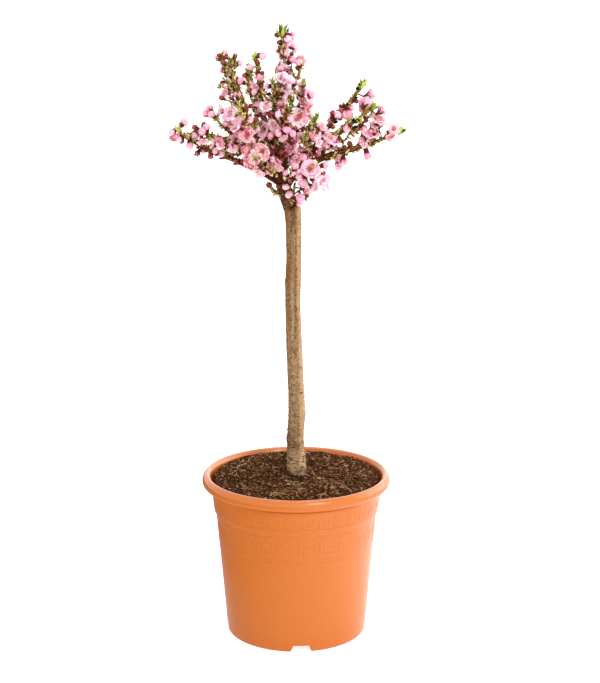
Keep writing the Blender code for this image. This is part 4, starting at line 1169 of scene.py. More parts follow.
def bark_group():
    """Bark: streaks, fine freckles, a warm side and a pale right side that is painted light, wrinkles across it
    low down, a foot paled partly by painted light, and painted shade down the left edge and in a groove.
    """
    tree, given, out = group("bark", (
        ("Dark", (0.1, 0.06, 0.03)), ("Middle", (0.3, 0.2, 0.1)), ("Light", (0.6, 0.45, 0.28)),
        ("Warm", (0.4, 0.2, 0.1)), ("Pale", (0.9, 0.7, 0.5)), ("Wrinkles", 0.0), ("Stain", 0.0),
        ("Lift", 0.0), ("Blotches", 0.0),
    ), (("Color", "NodeSocketColor"), ("Height", "NodeSocketFloat")))
    nodes = Nodes(tree)
    streak = nodes.spread(nodes.noise(260.0, 3.0, (1, 1, 0.06)), 0.40, 0.62)
    freckle = nodes.spread(nodes.noise(540.0, 3.0, (1, 1, 0.7), 0.6), 0.45, 0.55)
    patch = nodes.spread(nodes.noise(70.0, 3.0, (1, 1, 0.4)), 0.42, 0.62)
    pit = nodes.spread(nodes.noise(700.0, 2.0, (1, 1, 0.8), 0.6), 0.45, 0.38)
    across = nodes.spread(nodes.noise(640.0, 3.0, (0.25, 0.25, 1)), 0.50, 0.42)
    blotch = nodes.spread(nodes.noise(190.0, 3.0), 0.40, 0.60, -0.5, 0.5)
    where = nodes.add("SeparateXYZ")
    nodes.join(nodes.place(), where, "Vector")
    low = nodes.spread(where.outputs["Z"], 0.250, 0.212, 0.0, 1.0)
    high = nodes.spread(where.outputs["Z"], 0.33, 0.43, 0.40, 1.0)
    foot = nodes.spread(where.outputs["Z"], 0.226, 0.206, 0.0, 1.0)
    base = nodes.spread(where.outputs["Z"], 0.203, 0.194, 0.0, 1.0)
    beside = nodes.sum("ADD", where.outputs["X"], nodes.spread(where.outputs["Z"], 0.30, 0.40, -0.0080, -0.0048))
    # pale is painted light: the bark made lighter and creamier towards the trunk's right side, where the light
    # falls
    pale = nodes.spread(beside, 0.0028, 0.0058, 0.0, 0.50)
    # Painted shade: a darker band down a groove in the bark, weaker low down
    groove_shade = nodes.spread(beside, -0.0022, -0.0004, 0.0, 0.36)
    groove_shade = nodes.sum("MULTIPLY", groove_shade, nodes.spread(beside, 0.0014, 0.0042, 1.0, 0.0))
    groove_shade = nodes.sum("MULTIPLY", groove_shade, nodes.spread(where.outputs["Z"], 0.33, 0.38, 0.55, 1.0))
    bright = nodes.spread(where.outputs["Z"], 0.38, 0.34, 0.05, 0.22)
    bright = nodes.sum("MULTIPLY", bright, nodes.spread(where.outputs["Z"], 0.235, 0.265, 0.5, 1.0))
    # rim is painted shade: the bark darker down the trunk's left edge, away from the light
    rim = nodes.spread(beside, -0.0080, -0.0050, 0.20, 0.0)
    wrinkle = nodes.sum("MULTIPLY", across, nodes.sum("MULTIPLY", low, given.outputs["Wrinkles"]))
    shade = nodes.sum("ADD", nodes.sum("MULTIPLY", streak, 0.24), nodes.sum("MULTIPLY", freckle, 0.50))
    shade = nodes.sum("ADD", nodes.sum("ADD", shade, bright), nodes.sum("ADD", pale, nodes.sum("MULTIPLY", blotch, given.outputs["Blotches"])))
    body = nodes.mix(shade, given.outputs["Middle"], given.outputs["Light"])
    # side keeps the warm patches off the painted lit side
    side = nodes.sum("SUBTRACT", 1.0, nodes.sum("MULTIPLY", pale, 1.8))
    warmth = nodes.sum("MULTIPLY", nodes.sum("ADD", patch, 0.40), nodes.sum("MULTIPLY", high, 0.50))
    tinted = nodes.mix(nodes.sum("MULTIPLY", warmth, side), body, given.outputs["Warm"])
    # lifted: the foot of the trunk mixed towards a pale colour, partly the bark's own paler tone and partly
    # painted light on the shaded foot
    lifted = nodes.mix(nodes.sum("MULTIPLY", foot, given.outputs["Lift"]), tinted, given.outputs["Pale"])
    soiled = nodes.sum("MULTIPLY", nodes.sum("MULTIPLY", base, patch), given.outputs["Stain"])
    pits = nodes.sum("MULTIPLY", pit, nodes.sum("MULTIPLY", high, 0.65))
    # Darker places: pits, wrinkles and a stain at the base, which the bark has, and the painted shade of the
    # left edge and the groove
    marks_and_shade = nodes.sum("MAXIMUM", pits, nodes.sum("MAXIMUM", wrinkle, soiled))
    marks_and_shade = nodes.sum("MAXIMUM", marks_and_shade, nodes.sum("MAXIMUM", rim, groove_shade))
    nodes.join(nodes.mix(marks_and_shade, lifted, given.outputs["Dark"]), out, "Color")
    relief = nodes.sum("SUBTRACT", nodes.sum("MULTIPLY", shade, 0.8), marks_and_shade)
    nodes.join(relief, out, "Height")
    return tree


def patterned(name, tree, roughness, bump, depth, colours, numbers=(), **values):
    """A Principled material coloured and roughened by a pattern group."""
    made = bpy.data.materials.new(name)
    made.use_nodes = True
    nodes = Nodes(made.node_tree)
    shader = made.node_tree.nodes["Principled BSDF"]
    shader.inputs["Roughness"].default_value = roughness
    for key, value in values.items():
        shader.inputs[key.replace("_", " ")].default_value = value
    pattern = nodes.add("Group", node_tree=tree)
    for socket, colour in colours.items():
        pattern.inputs[socket].default_value = (*colour, 1.0)
    for socket, number in dict(numbers).items():
        pattern.inputs[socket].default_value = number
    nodes.join(pattern.outputs["Color"], shader, "Base Color")
    relief = nodes.add("Bump")
    relief.inputs["Strength"].default_value = bump
    relief.inputs["Distance"].default_value = depth
    nodes.join(pattern.outputs["Height"], relief, "Height")
    nodes.join(relief.outputs["Normal"], shader, "Normal")
    return made


# Colours of the plant's small parts: linear colour, how much it varies, roughness, and glow, an emission that is
# painted light lifting the parts in shade
Tint = namedtuple("Tint", "colour varies roughness glow")
TINTS = {
    "petal_white": Tint((0.98, 0.78, 0.85), 0.05, 0.55, 0.12),
    "petal_pale": Tint((0.98, 0.56, 0.73), 0.07, 0.55, 0.10),
    "petal_pink": Tint((0.97, 0.40, 0.54), 0.10, 0.55, 0.06),
    "petal_rose": Tint((0.76, 0.140, 0.200), 0.16, 0.55, 0.0),
    "petal_deep": Tint((0.44, 0.065, 0.075), 0.20, 0.55, 0.0),
    "petal_cream": Tint((0.98, 0.70, 0.67), 0.07, 0.55, 0.10),
    "calyx_red": Tint((0.105, 0.020, 0.009), 0.45, 0.6, 0.0),
    "sepal_red": Tint((0.17, 0.036, 0.016), 0.45, 0.6, 0.0),
    "filament": Tint((0.96, 0.56, 0.48), 0.10, 0.6, 0.05),
    "anther": Tint((0.56, 0.22, 0.035), 0.35, 0.7, 0.0),
    "heart_gold": Tint((0.62, 0.27, 0.06), 0.25, 0.6, 0.06),
    "leaf_green": Tint((0.27, 0.36, 0.042), 0.30, 0.45, 0.03),
    "leaf_yellow": Tint((0.60, 0.61, 0.14), 0.20, 0.45, 0.05),
    "leaf_dark": Tint((0.060, 0.085, 0.014), 0.40, 0.45, 0.0),
    "scale_dark": Tint((0.030, 0.009, 0.0025), 0.50, 0.75, 0.0),
    "scale_brown": Tint((0.22, 0.068, 0.016), 0.50, 0.7, 0.0),
    "scale_tan": Tint((0.92, 0.62, 0.37), 0.18, 0.7, 0.03),
    "scale_olive": Tint((0.40, 0.28, 0.050), 0.40, 0.7, 0.0),
    "scale_green": Tint((0.38, 0.38, 0.090), 0.30, 0.65, 0.0),
    "wood_brown": Tint((0.086, 0.027, 0.006), 0.80, 0.8, 0.0),
    "wood_olive": Tint((0.140, 0.070, 0.012), 0.80, 0.75, 0.0),
    "wood_green": Tint((0.24, 0.185, 0.030), 0.60, 0.7, 0.0),
    "wood_tip": Tint((0.38, 0.41, 0.080), 0.35, 0.6, 0.0),
}
# The petals glow pink: painted light, as if light shone through them and between them
PETAL_GLOW = (1.0, 0.38, 0.48)


def make_materials():
    mottle, bark = mottle_group(), bark_group()
    made = {}
    for name, tint in TINTS.items():
        dark = tuple(c * (1 - tint.varies) for c in tint.colour)
        light = tuple(min(c * (1 + tint.varies), 1.0) for c in tint.colour)
        glow = PETAL_GLOW if name.startswith("petal") else tint.colour
        made[name] = patterned(
            name, mottle, tint.roughness, 0.15, 0.0001, {"Dark": dark, "Light": light},
            {"Scale": 380.0}, Emission_Color=(*glow, 1.0), Emission_Strength=tint.glow,
            Specular_IOR_Level=0.1,
        )
    for name, dark, light, scale, depth in (
        ("soil_dark", (0.004, 0.002, 0.001), (0.120, 0.045, 0.017), 420.0, 0.0008),
        ("crumb_dark", (0.010, 0.004, 0.0015), (0.095, 0.036, 0.014), 600.0, 0.0004),
        ("crumb_brown", (0.100, 0.040, 0.015), (0.50, 0.235, 0.100), 600.0, 0.0004),
        ("crumb_tan", (0.42, 0.20, 0.08), (0.66, 0.38, 0.20), 600.0, 0.0002),
        ("chip_pale", (0.40, 0.28, 0.17), (0.70, 0.56, 0.42), 800.0, 0.0002),
        ("fibre_tan", (0.74, 0.42, 0.19), (1.0, 0.74, 0.46), 900.0, 0.0001),
        ("fibre_red", (0.30, 0.105, 0.035), (0.56, 0.25, 0.10), 900.0, 0.0001),
        ("fibre_brown", (0.10, 0.040, 0.016), (0.24, 0.105, 0.045), 900.0, 0.0001),
    ):
        made[name] = patterned(
            name, mottle, 0.95, 0.6, depth, {"Dark": dark, "Light": light}, {"Scale": scale},
            Specular_IOR_Level=0.05,
        )
    made["terracotta"] = patterned(
        "terracotta_coloured_plastic", mottle, 0.26, 0.06, 0.0001,
        {"Dark": (0.625, 0.152, 0.010), "Light": (0.66, 0.170, 0.014)}, {"Scale": 700.0},
        Specular_IOR_Level=0.5,
    )
    # lift is how far the foot of the trunk is paled: partly its own tone, partly painted light
    for name, depth, dark, middle, light, warm, wrinkles, lift, blotches in (
        (
            "bark", 0.0006, (0.050, 0.020, 0.006), (0.135, 0.060, 0.018),
            (0.58, 0.380, 0.205), (0.29, 0.108, 0.027), 0.85, 0.74, 0.16,
        ),
        (
            "bark_head", 0.0010, (0.014, 0.005, 0.002), (0.070, 0.028, 0.010),
            (0.46, 0.235, 0.120), (0.16, 0.050, 0.016), 0.7, 0.0, 1.0,
        ),
        (
            "bark_scar", 0.0006, (0.025, 0.011, 0.006), (0.060, 0.027, 0.010),
            (0.18, 0.090, 0.038), (0.09, 0.036, 0.013), 0.3, 0.0, 0.0,
        ),
        (
            "bark_pale", 0.0006, (0.16, 0.085, 0.036), (0.29, 0.170, 0.078),
            (0.64, 0.47, 0.30), (0.38, 0.19, 0.070), 0.4, 0.4, 0.0,
        ),
    ):
        made[name] = patterned(
            name, bark, 0.9, 0.8, depth,
            {"Dark": dark, "Middle": middle, "Light": light, "Warm": warm,
             "Pale": (0.88, 0.59, 0.33)},
            {"Wrinkles": wrinkles, "Stain": 0.8, "Lift": lift, "Blotches": blotches},
            Specular_IOR_Level=0.1,
        )
    return made


# Pot

def arc(middle_r, middle_z, size_r, size_z, start, end, count):
    """Points on an elliptical arc of a profile, from one angle in degrees to another."""
    angles = np.radians(np.linspace(start, end, count))
    return [(middle_r + size_r * math.cos(a), middle_z + size_z * math.sin(a)) for a in angles]


def wall_radius(height):
    """The outer radius of the wall at a height below the lip."""
    heights = (0.0, STEP_HEIGHT - STEP_DROP, STEP_HEIGHT, LIP_HEIGHT - LIP_DROP)
    radii = (BASE_RADIUS, SHOULDER_RADIUS, NECK_FOOT_RADIUS, NECK_TOP_RADIUS)
    return np.interp(height, heights, radii)


def pot_profile():
    """The whole closed profile, up the inside from the axis and down the outside."""
    floor = PLATE_UNDERSIDE + WALL
    step = STEP_HEIGHT - WALL
    inside = [(0.0, floor)]
    for height in (floor, step - STEP_DROP, step, LIP_HEIGHT - LIP_DROP):
        inside.append((float(wall_radius(height)) - WALL, height))
    inside += arc(LIP_MIDDLE, LIP_HEIGHT, LIP_MIDDLE - MOUTH_RADIUS, LIP_RISE, 180, 90, 13)[:-1]
    outside = arc(LIP_MIDDLE, LIP_HEIGHT, LIP_RADIUS - LIP_MIDDLE, LIP_RISE, 90, 0, 17)
    drop = arc(NECK_TOP_RADIUS, LIP_HEIGHT, LIP_RADIUS - NECK_TOP_RADIUS, LIP_DROP, -12, -90, 14)
    rounding = arc(NECK_FOOT_RADIUS - 0.0012, STEP_HEIGHT + 0.0002, 0.0012, 0.0012, 0, -80, 6)
    under = LIP_HEIGHT - LIP_DROP
    groove = [(NECK_TOP_RADIUS - GROOVE_DEPTH, under), (NECK_TOP_RADIUS - GROOVE_DEPTH, under - 0.0012)]
    outside += drop + groove + [(NECK_TOP_RADIUS - 0.0001, under - GROOVE_HEIGHT)]
    outside += [(NECK_FOOT_RADIUS + 0.0001, STEP_HEIGHT + 0.0024)] + rounding
    outside += [(SHOULDER_RADIUS + 0.0002, STEP_HEIGHT - STEP_DROP + 0.0008)]
    for height in np.linspace(STEP_HEIGHT - STEP_DROP, FOOT_CHAMFER_RISE, 18):
        outside.append((float(wall_radius(height)), height))
    foot = BASE_RADIUS - FOOT_WIDTH
    outside += [(BASE_RADIUS - 0.0001, 0.0008), (BASE_RADIUS - FOOT_CHAMFER, 0.0)]
    outside += [(foot, 0.0), (foot, PLATE_UNDERSIDE), (0.0, PLATE_UNDERSIDE)]
    return inside + outside


def notch_cutter(index, turn):
    """A block, narrower at its top, that opens the foot ring."""
    slope = (NOTCH_FOOT_WIDTH - NOTCH_TOP_WIDTH) / NOTCH_HEIGHT
    work = bmesh.new()
    bmesh.ops.create_cube(work, size=1.0)
    for vert in work.verts:
        top = vert.co.z > 0
        vert.co.y *= NOTCH_TOP_WIDTH if top else NOTCH_FOOT_WIDTH + slope * NOTCH_BELOW
        vert.co.z = NOTCH_HEIGHT if top else -NOTCH_BELOW
        vert.co.x = BASE_RADIUS - FOOT_WIDTH / 2 + vert.co.x * 5 * FOOT_WIDTH
    return cutter_of(work, f"notch_cutter_{index}", turn=turn)


def drain_cutter(index, turn):
    work = bmesh.new()
    bmesh.ops.create_cone(
        work, cap_ends=True, segments=24, radius1=DRAIN_RADIUS, radius2=DRAIN_RADIUS,
        depth=4 * WALL,
    )
    place = compass_point(math.degrees(turn), DRAIN_RING_RADIUS, PLATE_UNDERSIDE + WALL / 2)
    return cutter_of(work, f"drain_cutter_{index}", place)


def cutter_of(work, name, place=(0.0, 0.0, 0.0), turn=0.0):
    mesh = bpy.data.meshes.new(name)
    work.to_mesh(mesh)
    work.free()
    cutter = bpy.data.objects.new(name, mesh)
    cutter.location = place
    cutter.rotation_euler = (0.0, 0.0, turn)
    bpy.context.scene.collection.objects.link(cutter)
    return cutter


def make_pot(plastic):
    """The pot, turned from its profile, with its foot notches and drain holes cut."""
    profile = pot_profile()
    mesh = bpy.data.meshes.new("turned_pot")
    edges = [(i, i + 1) for i in range(len(profile) - 1)]
    mesh.from_pydata([(r, 0.0, z) for r, z in profile], edges, [])
    blank = bpy.data.objects.new("turned_pot", mesh)
    bpy.context.scene.collection.objects.link(blank)
    screw = blank.modifiers.new("turn", "SCREW")
    screw.steps = screw.render_steps = POT_SIDES
    screw.use_merge_vertices = True
    screw.merge_threshold = 1e-5
    quarter = 2 * math.pi / NOTCH_COUNT
    cutters = [notch_cutter(k, NOTCH_TURN - quarter + k * quarter) for k in range(NOTCH_COUNT)]
    for k in range(DRAIN_COUNT):
        cutters.append(drain_cutter(k, DRAIN_TURN + k * 2 * math.pi / DRAIN_COUNT))
    for cutter in cutters:
        cut = blank.modifiers.new("cut", "BOOLEAN")
        cut.operation = "DIFFERENCE"
        cut.object = cutter
    bpy.context.view_layer.update()
    graph = bpy.context.evaluated_depsgraph_get()
    finished = bpy.data.meshes.new_from_object(blank.evaluated_get(graph))
    for obj in [blank] + cutters:
        bpy.data.objects.remove(obj, do_unlink=True)
    corners = np.zeros(len(finished.vertices) * 3, np.float32)
    finished.vertices.foreach_get("co", corners)
    moved = corners.reshape(-1, 3) + PLACE
    finished.vertices.foreach_set("co", moved.astype(np.float32).ravel())
    finished.shade_smooth()
    finished.set_sharp_from_angle(angle=math.radians(32))
    piece("pot_wall", finished, [plastic], ["pot"])


def stroke(heap, path, width, closed=False):
    """A raised stroke with sloping sides along a path of (distance round, height)."""
    path = np.array(path, float)
    into = np.vstack([path[:1] * 0, np.diff(path, axis=0)])
    out = np.vstack([np.diff(path, axis=0), path[:1] * 0])
    if closed:
        into[0], out[-1] = into[1], out[-2]
    ways = []
    for step in (into, out):
        size = np.linalg.norm(step, axis=1, keepdims=True)
        ways.append(np.where(size > 0, step / np.maximum(size, 1e-12), 0.0))
    into, out = ways
    corner = (np.abs((into * out).sum(1)) < 0.5)[:, None] & into.any(1)[:, None] & out.any(1)[:, None]
    way = np.where(corner, into + out, np.where(into.any(1)[:, None], into, out))
    side = np.stack([-way[:, 1], way[:, 0]], 1)
    rows = []
    for across, rise in STROKE_SECTION:
        flat = path + side * across * width
        radius = wall_radius(flat[:, 1]) + rise
        angle = flat[:, 0] / NECK_FOOT_RADIUS
        rows.append(np.stack([radius * np.cos(angle), radius * np.sin(angle), flat[:, 1]], 1))
    points = np.array(rows)
    heap.add(points, grid_faces(points.shape[0], points.shape[1]))
    if not closed:
        heap.add(points[:, 0], [[0, 1, 4, 5], [1, 2, 3, 4]])
        heap.add(points[:, -1], [[5, 4, 1, 0], [4, 3, 2, 1]])


def dense_path(corners, step=0.004):
    """The corners with more points between them, so that a stroke follows the round wall."""
    path = []
    for a, b in zip(corners, corners[1:]):
        a, b = np.array(a, float), np.array(b, float)
        count = max(1, int(np.linalg.norm(b - a) / step))
        path += [a + (b - a) * k / count for k in range(count)]
    return path + [np.array(corners[-1], float)]


def make_bands(plastic):
    """The raised lines and key patterns round the neck and the shoulder."""
    heap = Heap()
    girth = 2 * math.pi * NECK_FOOT_RADIUS
    for height in LINES_AT:
        turn = [(girth * k / POT_SIDES, height) for k in range(POT_SIDES + 1)]
        stroke(heap, turn, LINE_WIDTH, closed=True)
    for band in BANDS:
        cell = girth / band.count / band.columns
        rise = (band.high - band.low) / band.rows
        for k in range(band.count):
            start = girth * k / band.count
            corners = [(start + (x + 1) * cell, band.low + y * rise) for x, y in band.motif]
            stroke(heap, dense_path(corners), band.stroke)
    heap.make("pot_key_bands", [plastic], "terracotta_plastic")


# Compost

def compost_height(place):
    """The height of the compost at points on it, with its hollows, heaps and clods."""
    place = np.atleast_2d(place)
    edge = float(wall_radius(COMPOST_EDGE)) - WALL
    radius = np.linalg.norm(place, axis=1)
    share = np.clip((radius - SEAT_RADIUS) / (edge - SEAT_RADIUS), 0, 1)
    height = COMPOST_SEAT - (COMPOST_SEAT - COMPOST_EDGE - EDGE_LIFT) * (1 - np.cos(share * math.pi)) / 2
    for x, y, reach, rise in HEAPS:
        far = np.hypot(place[:, 0] - x, place[:, 1] - y) / reach
        height += rise * np.exp(-far * far)
    lumps = []
    for x, y in place:
        big = noise.noise((x * 60, y * 60, 0.3))
        mid = abs(noise.noise((x * 200, y * 200, 5.1)))
        fine = abs(noise.noise((x * 620, y * 620, 9.7)))
        lumps.append(CLOD * (0.5 * big + 0.9 * mid + 0.45 * fine))
    return height + np.array(lumps) - CLOD * 0.35


def make_compost(looks):
    edge = float(wall_radius(COMPOST_EDGE)) - WALL - GAP
    rings, sides = 110, 260
    radii = edge * np.sqrt(np.linspace(0.0004, 1, rings))
    angles = np.arange(sides) * 2 * math.pi / sides
    flat = np.stack([np.outer(radii, np.cos(angles)), np.outer(radii, np.sin(angles))], -1)
    height = compost_height(flat.reshape(-1, 2)).reshape(rings, sides, 1)
    points = np.concatenate([flat, height], -1)
    skirt = points[-1].copy()
    skirt[:, 2] = COMPOST_EDGE - 0.012
    floor = skirt * (0.01, 0.01, 1.0)
    points = np.concatenate([points[:1] * (0.02, 0.02, 1.0), points, skirt[None], floor[None]])
    heap = Heap()
    heap.add(points, turned_faces(points))
    heap.make("compost_bed", [looks["soil_dark"]], "compost", ["compost"])


def crumb_shape(draw):
    """An angular lump: a coarse ball with its corners moved at random."""
    rows = []
    for level, radius in ((-0.8, 0.02), (-0.3, 1.0), (0.5, 0.8), (0.85, 0.02)):
        for k in range(4):
            a = k * math.pi / 2 + level
            reach = radius * draw.uniform(0.7, 1.15)
            rows.append((reach * math.cos(a), reach * math.sin(a), level * draw.uniform(0.8, 1.1)))
    points = np.array(rows).reshape(4, 4, 3)
    return points, turned_faces(points)


def patchy(x, y):
    """How much the compost here leans to the paler crumbs, in patches some 35 mm across."""
    return 0.13 * math.sin(95.0 * x + 2.0) * math.sin(80.0 * y - 1.0)


def make_crumbs(looks):
    """Loose crumbs and a few pale chips all over the compost."""
    draw = random.Random("crumbs")
    shapes = [crumb_shape(draw) for _ in range(14)]
    edge = float(wall_radius(COMPOST_EDGE)) - WALL
    spots, sizes = [], []
    while len(spots) < CRUMBS:
        radius = edge * 0.985 * math.sqrt(draw.random())
        if radius > 0.0122:
            angle = draw.uniform(0, 2 * math.pi)
            spots.append((radius * math.cos(angle), radius * math.sin(angle)))
            sizes.append(CRUMB_SIZES[0] + CRUMB_SIZES[1] * draw.random() ** 3)
    heights = compost_height(np.array(spots))
    heap = Heap()
    for k, (spot, size, height) in enumerate(zip(spots, sizes, heights)):
        points, faces = shapes[k % len(shapes)]
        turn = facing(unit(draw.uniform(0, 360), draw.uniform(-90, 90)), draw.uniform(0, 6))
        tone = int(np.searchsorted(CRUMB_SHARES, draw.random() + patchy(*spot)))
        scaled = points.reshape(-1, 3) * size * (1.0, 1.0, draw.uniform(0.5, 0.9))
        heap.add(scaled @ turn.T + (*spot, height + 0.25 * size), faces, tone)
    tones = [looks[name] for name in ("crumb_dark", "crumb_brown", "crumb_tan", "chip_pale")]
    heap.make("compost_crumbs", tones, "compost")


def make_fibres(looks):
    """Pale fibres that lie on the compost, single and in loose tufts."""
    draw = random.Random("fibres")
    edge = float(wall_radius(COMPOST_EDGE)) - WALL
    tufts = [compass_point(angle, reach, 0)[:2] for angle, reach in FIBRE_TUFTS]
    heap = Heap()
    for k in range(FIBRES):
        if k % 5 < 2:
            start = edge * 0.95 * math.sqrt(draw.random()) * unit(draw.uniform(0, 360), 0)[:2]
        else:
            start = draw.choice(tufts) + 0.022 * math.sqrt(draw.random()) * unit(draw.uniform(0, 360), 0)[:2]
        long = draw.uniform(*FIBRE_LENGTHS)
        heading, curl = draw.uniform(0, 2 * math.pi), draw.uniform(-0.3, 0.3)
        ways = heading + curl * np.arange(4) / 3
        steps = long / 4 * np.stack([np.cos(ways), np.sin(ways)], 1)
        line = np.vstack([start, start + np.cumsum(steps, axis=0)])
        reach = np.linalg.norm(line, axis=1)
        if reach.max() > edge * 0.98 or reach.min() < 0.0125:
            continue
        arch = 0.0004 + 0.0009 * draw.random() * np.sin(np.linspace(0.3, math.pi, len(line)))
        thick = draw.uniform(0.00014, 0.00034) * np.array([0.5, 1, 1, 0.8, 0.4])
        rings = tube_rings(np.column_stack([line, compost_height(line) + arch]), thick, 4)
        heap.add(rings, turned_faces(rings), int(np.searchsorted(FIBRE_SHARES, draw.random())))
    tones = [looks["fibre_tan"], looks["fibre_red"], looks["fibre_brown"]]
    heap.make("compost_fibres", tones, "compost")


# Trunk, boughs and twigs

def union_edge(angle):
    """The height of the dark bark's lower edge round the trunk, lower on the left."""
    return UNION_HEIGHT - 0.0016 + 0.0030 * np.cos(angle) + 0.0012 * np.sin(angle * 5 + 1)


def trunk_relief(height, angle, radius):
    """How far the bark stands out at a height and angle, in metres."""
    x, y = radius * math.cos(angle), radius * math.sin(angle)
    low = min(1.0, max(0.0, (0.31 - height) / 0.05))
    high = min(1.0, max(0.0, (height - 0.47) / 0.03))
    head = min(1.0, max(0.0, (height - UNION_HEIGHT) / 0.004))
    out = 0.00040 * noise.noise((x * 60, y * 60, height * 30))
    out += 0.00040 * (1 - 0.5 * low) * noise.noise((x * 420, y * 420, height * 45 + 3))
    wrinkle = noise.noise((x * 150, y * 150, height * 560 + 7))
    out += wrinkle * (0.00008 + 0.00060 * low + 0.0001 * high)
    out += (0.00024 + 0.0005 * head) * noise.noise((x * 520, y * 520, height * 420))
    sway = 0.05 * noise.noise((0.0, 0.0, height * 40))
    for groove in GROOVES:
        around = (angle - math.radians(groove.angle) - sway + math.pi) % (2 * math.pi) - math.pi
        near = math.exp(-((around * radius / groove.half) ** 2))
        ends = min(1.0, max(0.0, (height - groove.low) / 0.01), max(0.0, (groove.high - height) / 0.01))
        out += groove.rise * near * max(0.0, ends)
    out += 0.0009 * head * noise.noise((x * 190, y * 190, height * 190 + 4))
    for knot in KNOTS:
        rise = height - knot.height
        if abs(rise) > 3 * knot.radius:
            continue
        turn = (angle - math.radians(knot.angle) + math.pi) % (2 * math.pi) - math.pi
        far = math.hypot(rise, turn * radius) / knot.radius
        out += knot.rise * math.exp(-far * far) - knot.eye * math.exp(-((far / 0.38) ** 2))
        out -= RIDGE * math.exp(-(((far - 1.25) / 0.16) ** 2))
    seam = (height - union_edge(angle)) / 0.0013
    out -= 0.0007 * math.exp(-seam * seam)
    flare = max(0.0, (0.205 - height) / 0.015)
    return out + 0.0011 * flare * (0.3 + noise.noise((x * 110, y * 110, 1.0)))


def make_trunk(lines, looks):
    line = stretch(lines["trunk"], 0, 1, TRUNK_RINGS)
    line[:12, :2] = line[12, :2]
    angles = np.arange(TRUNK_SIDES) * 2 * math.pi / TRUNK_SIDES
    circle = np.stack([np.cos(angles), np.sin(angles), 0 * angles], 1)
    rows = []
    for centre, radius in zip(line, trunk_radius(line[:, 2])):
        out = np.array([trunk_relief(centre[2], a, radius) for a in angles])
        rows.append(centre + circle * (radius + out)[:, None])
    points = np.array(rows)
    sunk = points[0] - (0, 0, 0.004)
    top = line[-1] + (points[-1] - line[-1]) * 0.5 + (0, 0, 0.003)
    tip = line[-1] + (points[-1] - line[-1]) * 0.02 + (0, 0, 0.004)
    points = np.concatenate([sunk[None], points, top[None], tip[None]])
    tones = (points[:-1, :, 2] > union_edge(angles)).astype(int)
    middles = (points[:-1] + points[1:])[..., 2] / 2
    for mark in MARKS:
        around = (angles - math.radians(mark.angle) + math.pi) % (2 * math.pi) - math.pi
        across = around * trunk_radius(mark.height) / mark.wide
        far = np.hypot(across[None, :], (middles - mark.height) / mark.high)
        tones[(far < 1.0) & (tones == 0)] = mark.tone
    heap = Heap()
    heap.add(points, turned_faces(points), tones.ravel())
    tones = [looks[name] for name in ("bark", "bark_head", "bark_scar", "bark_pale")]
    heap.make("trunk_bark", tones, "trunk_bark", ["trunk"])


def wood_tube(heap, line, radii, sides, share_from, share_to, seed, knobs=()):
    """A limb or twig with uneven bark, thicker where buds sit, greener towards its tip."""
    draw = random.Random(seed)
    long = length_of(line)
    count = max(4, int(long / 0.0011))
    shares = np.linspace(0, 1, count)
    radius = np.interp(shares, np.linspace(0, 1, len(radii)), radii)
    for knob in knobs:
        radius = radius + KNOB * np.exp(-(((shares - knob) * long / 0.0011) ** 2))
    shift = draw.uniform(0, 50)
    bump = np.array([
        [
            0.00024 * noise.noise((a * 1.3 + shift, k * 0.23, 1.0))
            + 0.00014 * noise.noise((a * 3.1 + shift, k * 1.1, 4.0))
            for a in np.arange(sides) * 2 * math.pi / sides
        ]
        for k in range(count)
    ])
    rings = tube_rings(along(line, shares), radius, sides, bump)
    level = np.clip(np.arange(len(rings) - 1) / count, 0, 1)
    whole = share_from + (share_to - share_from) * level
    uneven = np.array([draw.uniform(-0.06, 0.06) for _ in whole])
    heap.add(rings, turned_faces(rings), np.repeat(np.digitize(whole + uneven, TONE_EDGES), sides))


def wood_tones(looks):
    return [looks[name] for name in ("wood_brown", "wood_olive", "wood_green", "wood_tip")]


def make_boughs(lines, looks):
    heap = Heap()
    for name, limb in LIMBS.items():
        shares = np.linspace(0.0, limb.bough + 0.02, 30)
        line = along(lines[name], shares)
        wood_tube(heap, line, limb_radius(limb, shares), 16, -0.5, 0.12, "bough " + name)
    nodes = ["bough_" + name for name in LIMBS]
    heap.make("bough_bark", wood_tones(looks), "young_bark", nodes)


def in_sky(points):
    """Whether any of these points is where the photograph shows sky within the crown."""
    at, _ = in_frame(points)
    far = np.linalg.norm(at[:, None] - SKY[None, :, :2], axis=2)
    return bool((far < SKY[:, 2]).any())


def opened(twigs, blooms):
    """A shoot without the side twigs that would fill the sky, and without their blossom."""
    kept = [t for t in twigs if t.start_radius != TWIG_RADIUS or not in_sky(t.points[len(t.points) // 2:])]
    places = np.vstack([t.points for t in twigs])
    stays = np.concatenate([[any(t is k for k in kept)] * len(t.points) for t in twigs])
    nearest = [int(np.linalg.norm(places - bloom.root, axis=1).argmin()) for bloom in blooms]
    return kept, [bloom for bloom, near in zip(blooms, nearest) if stays[near]]


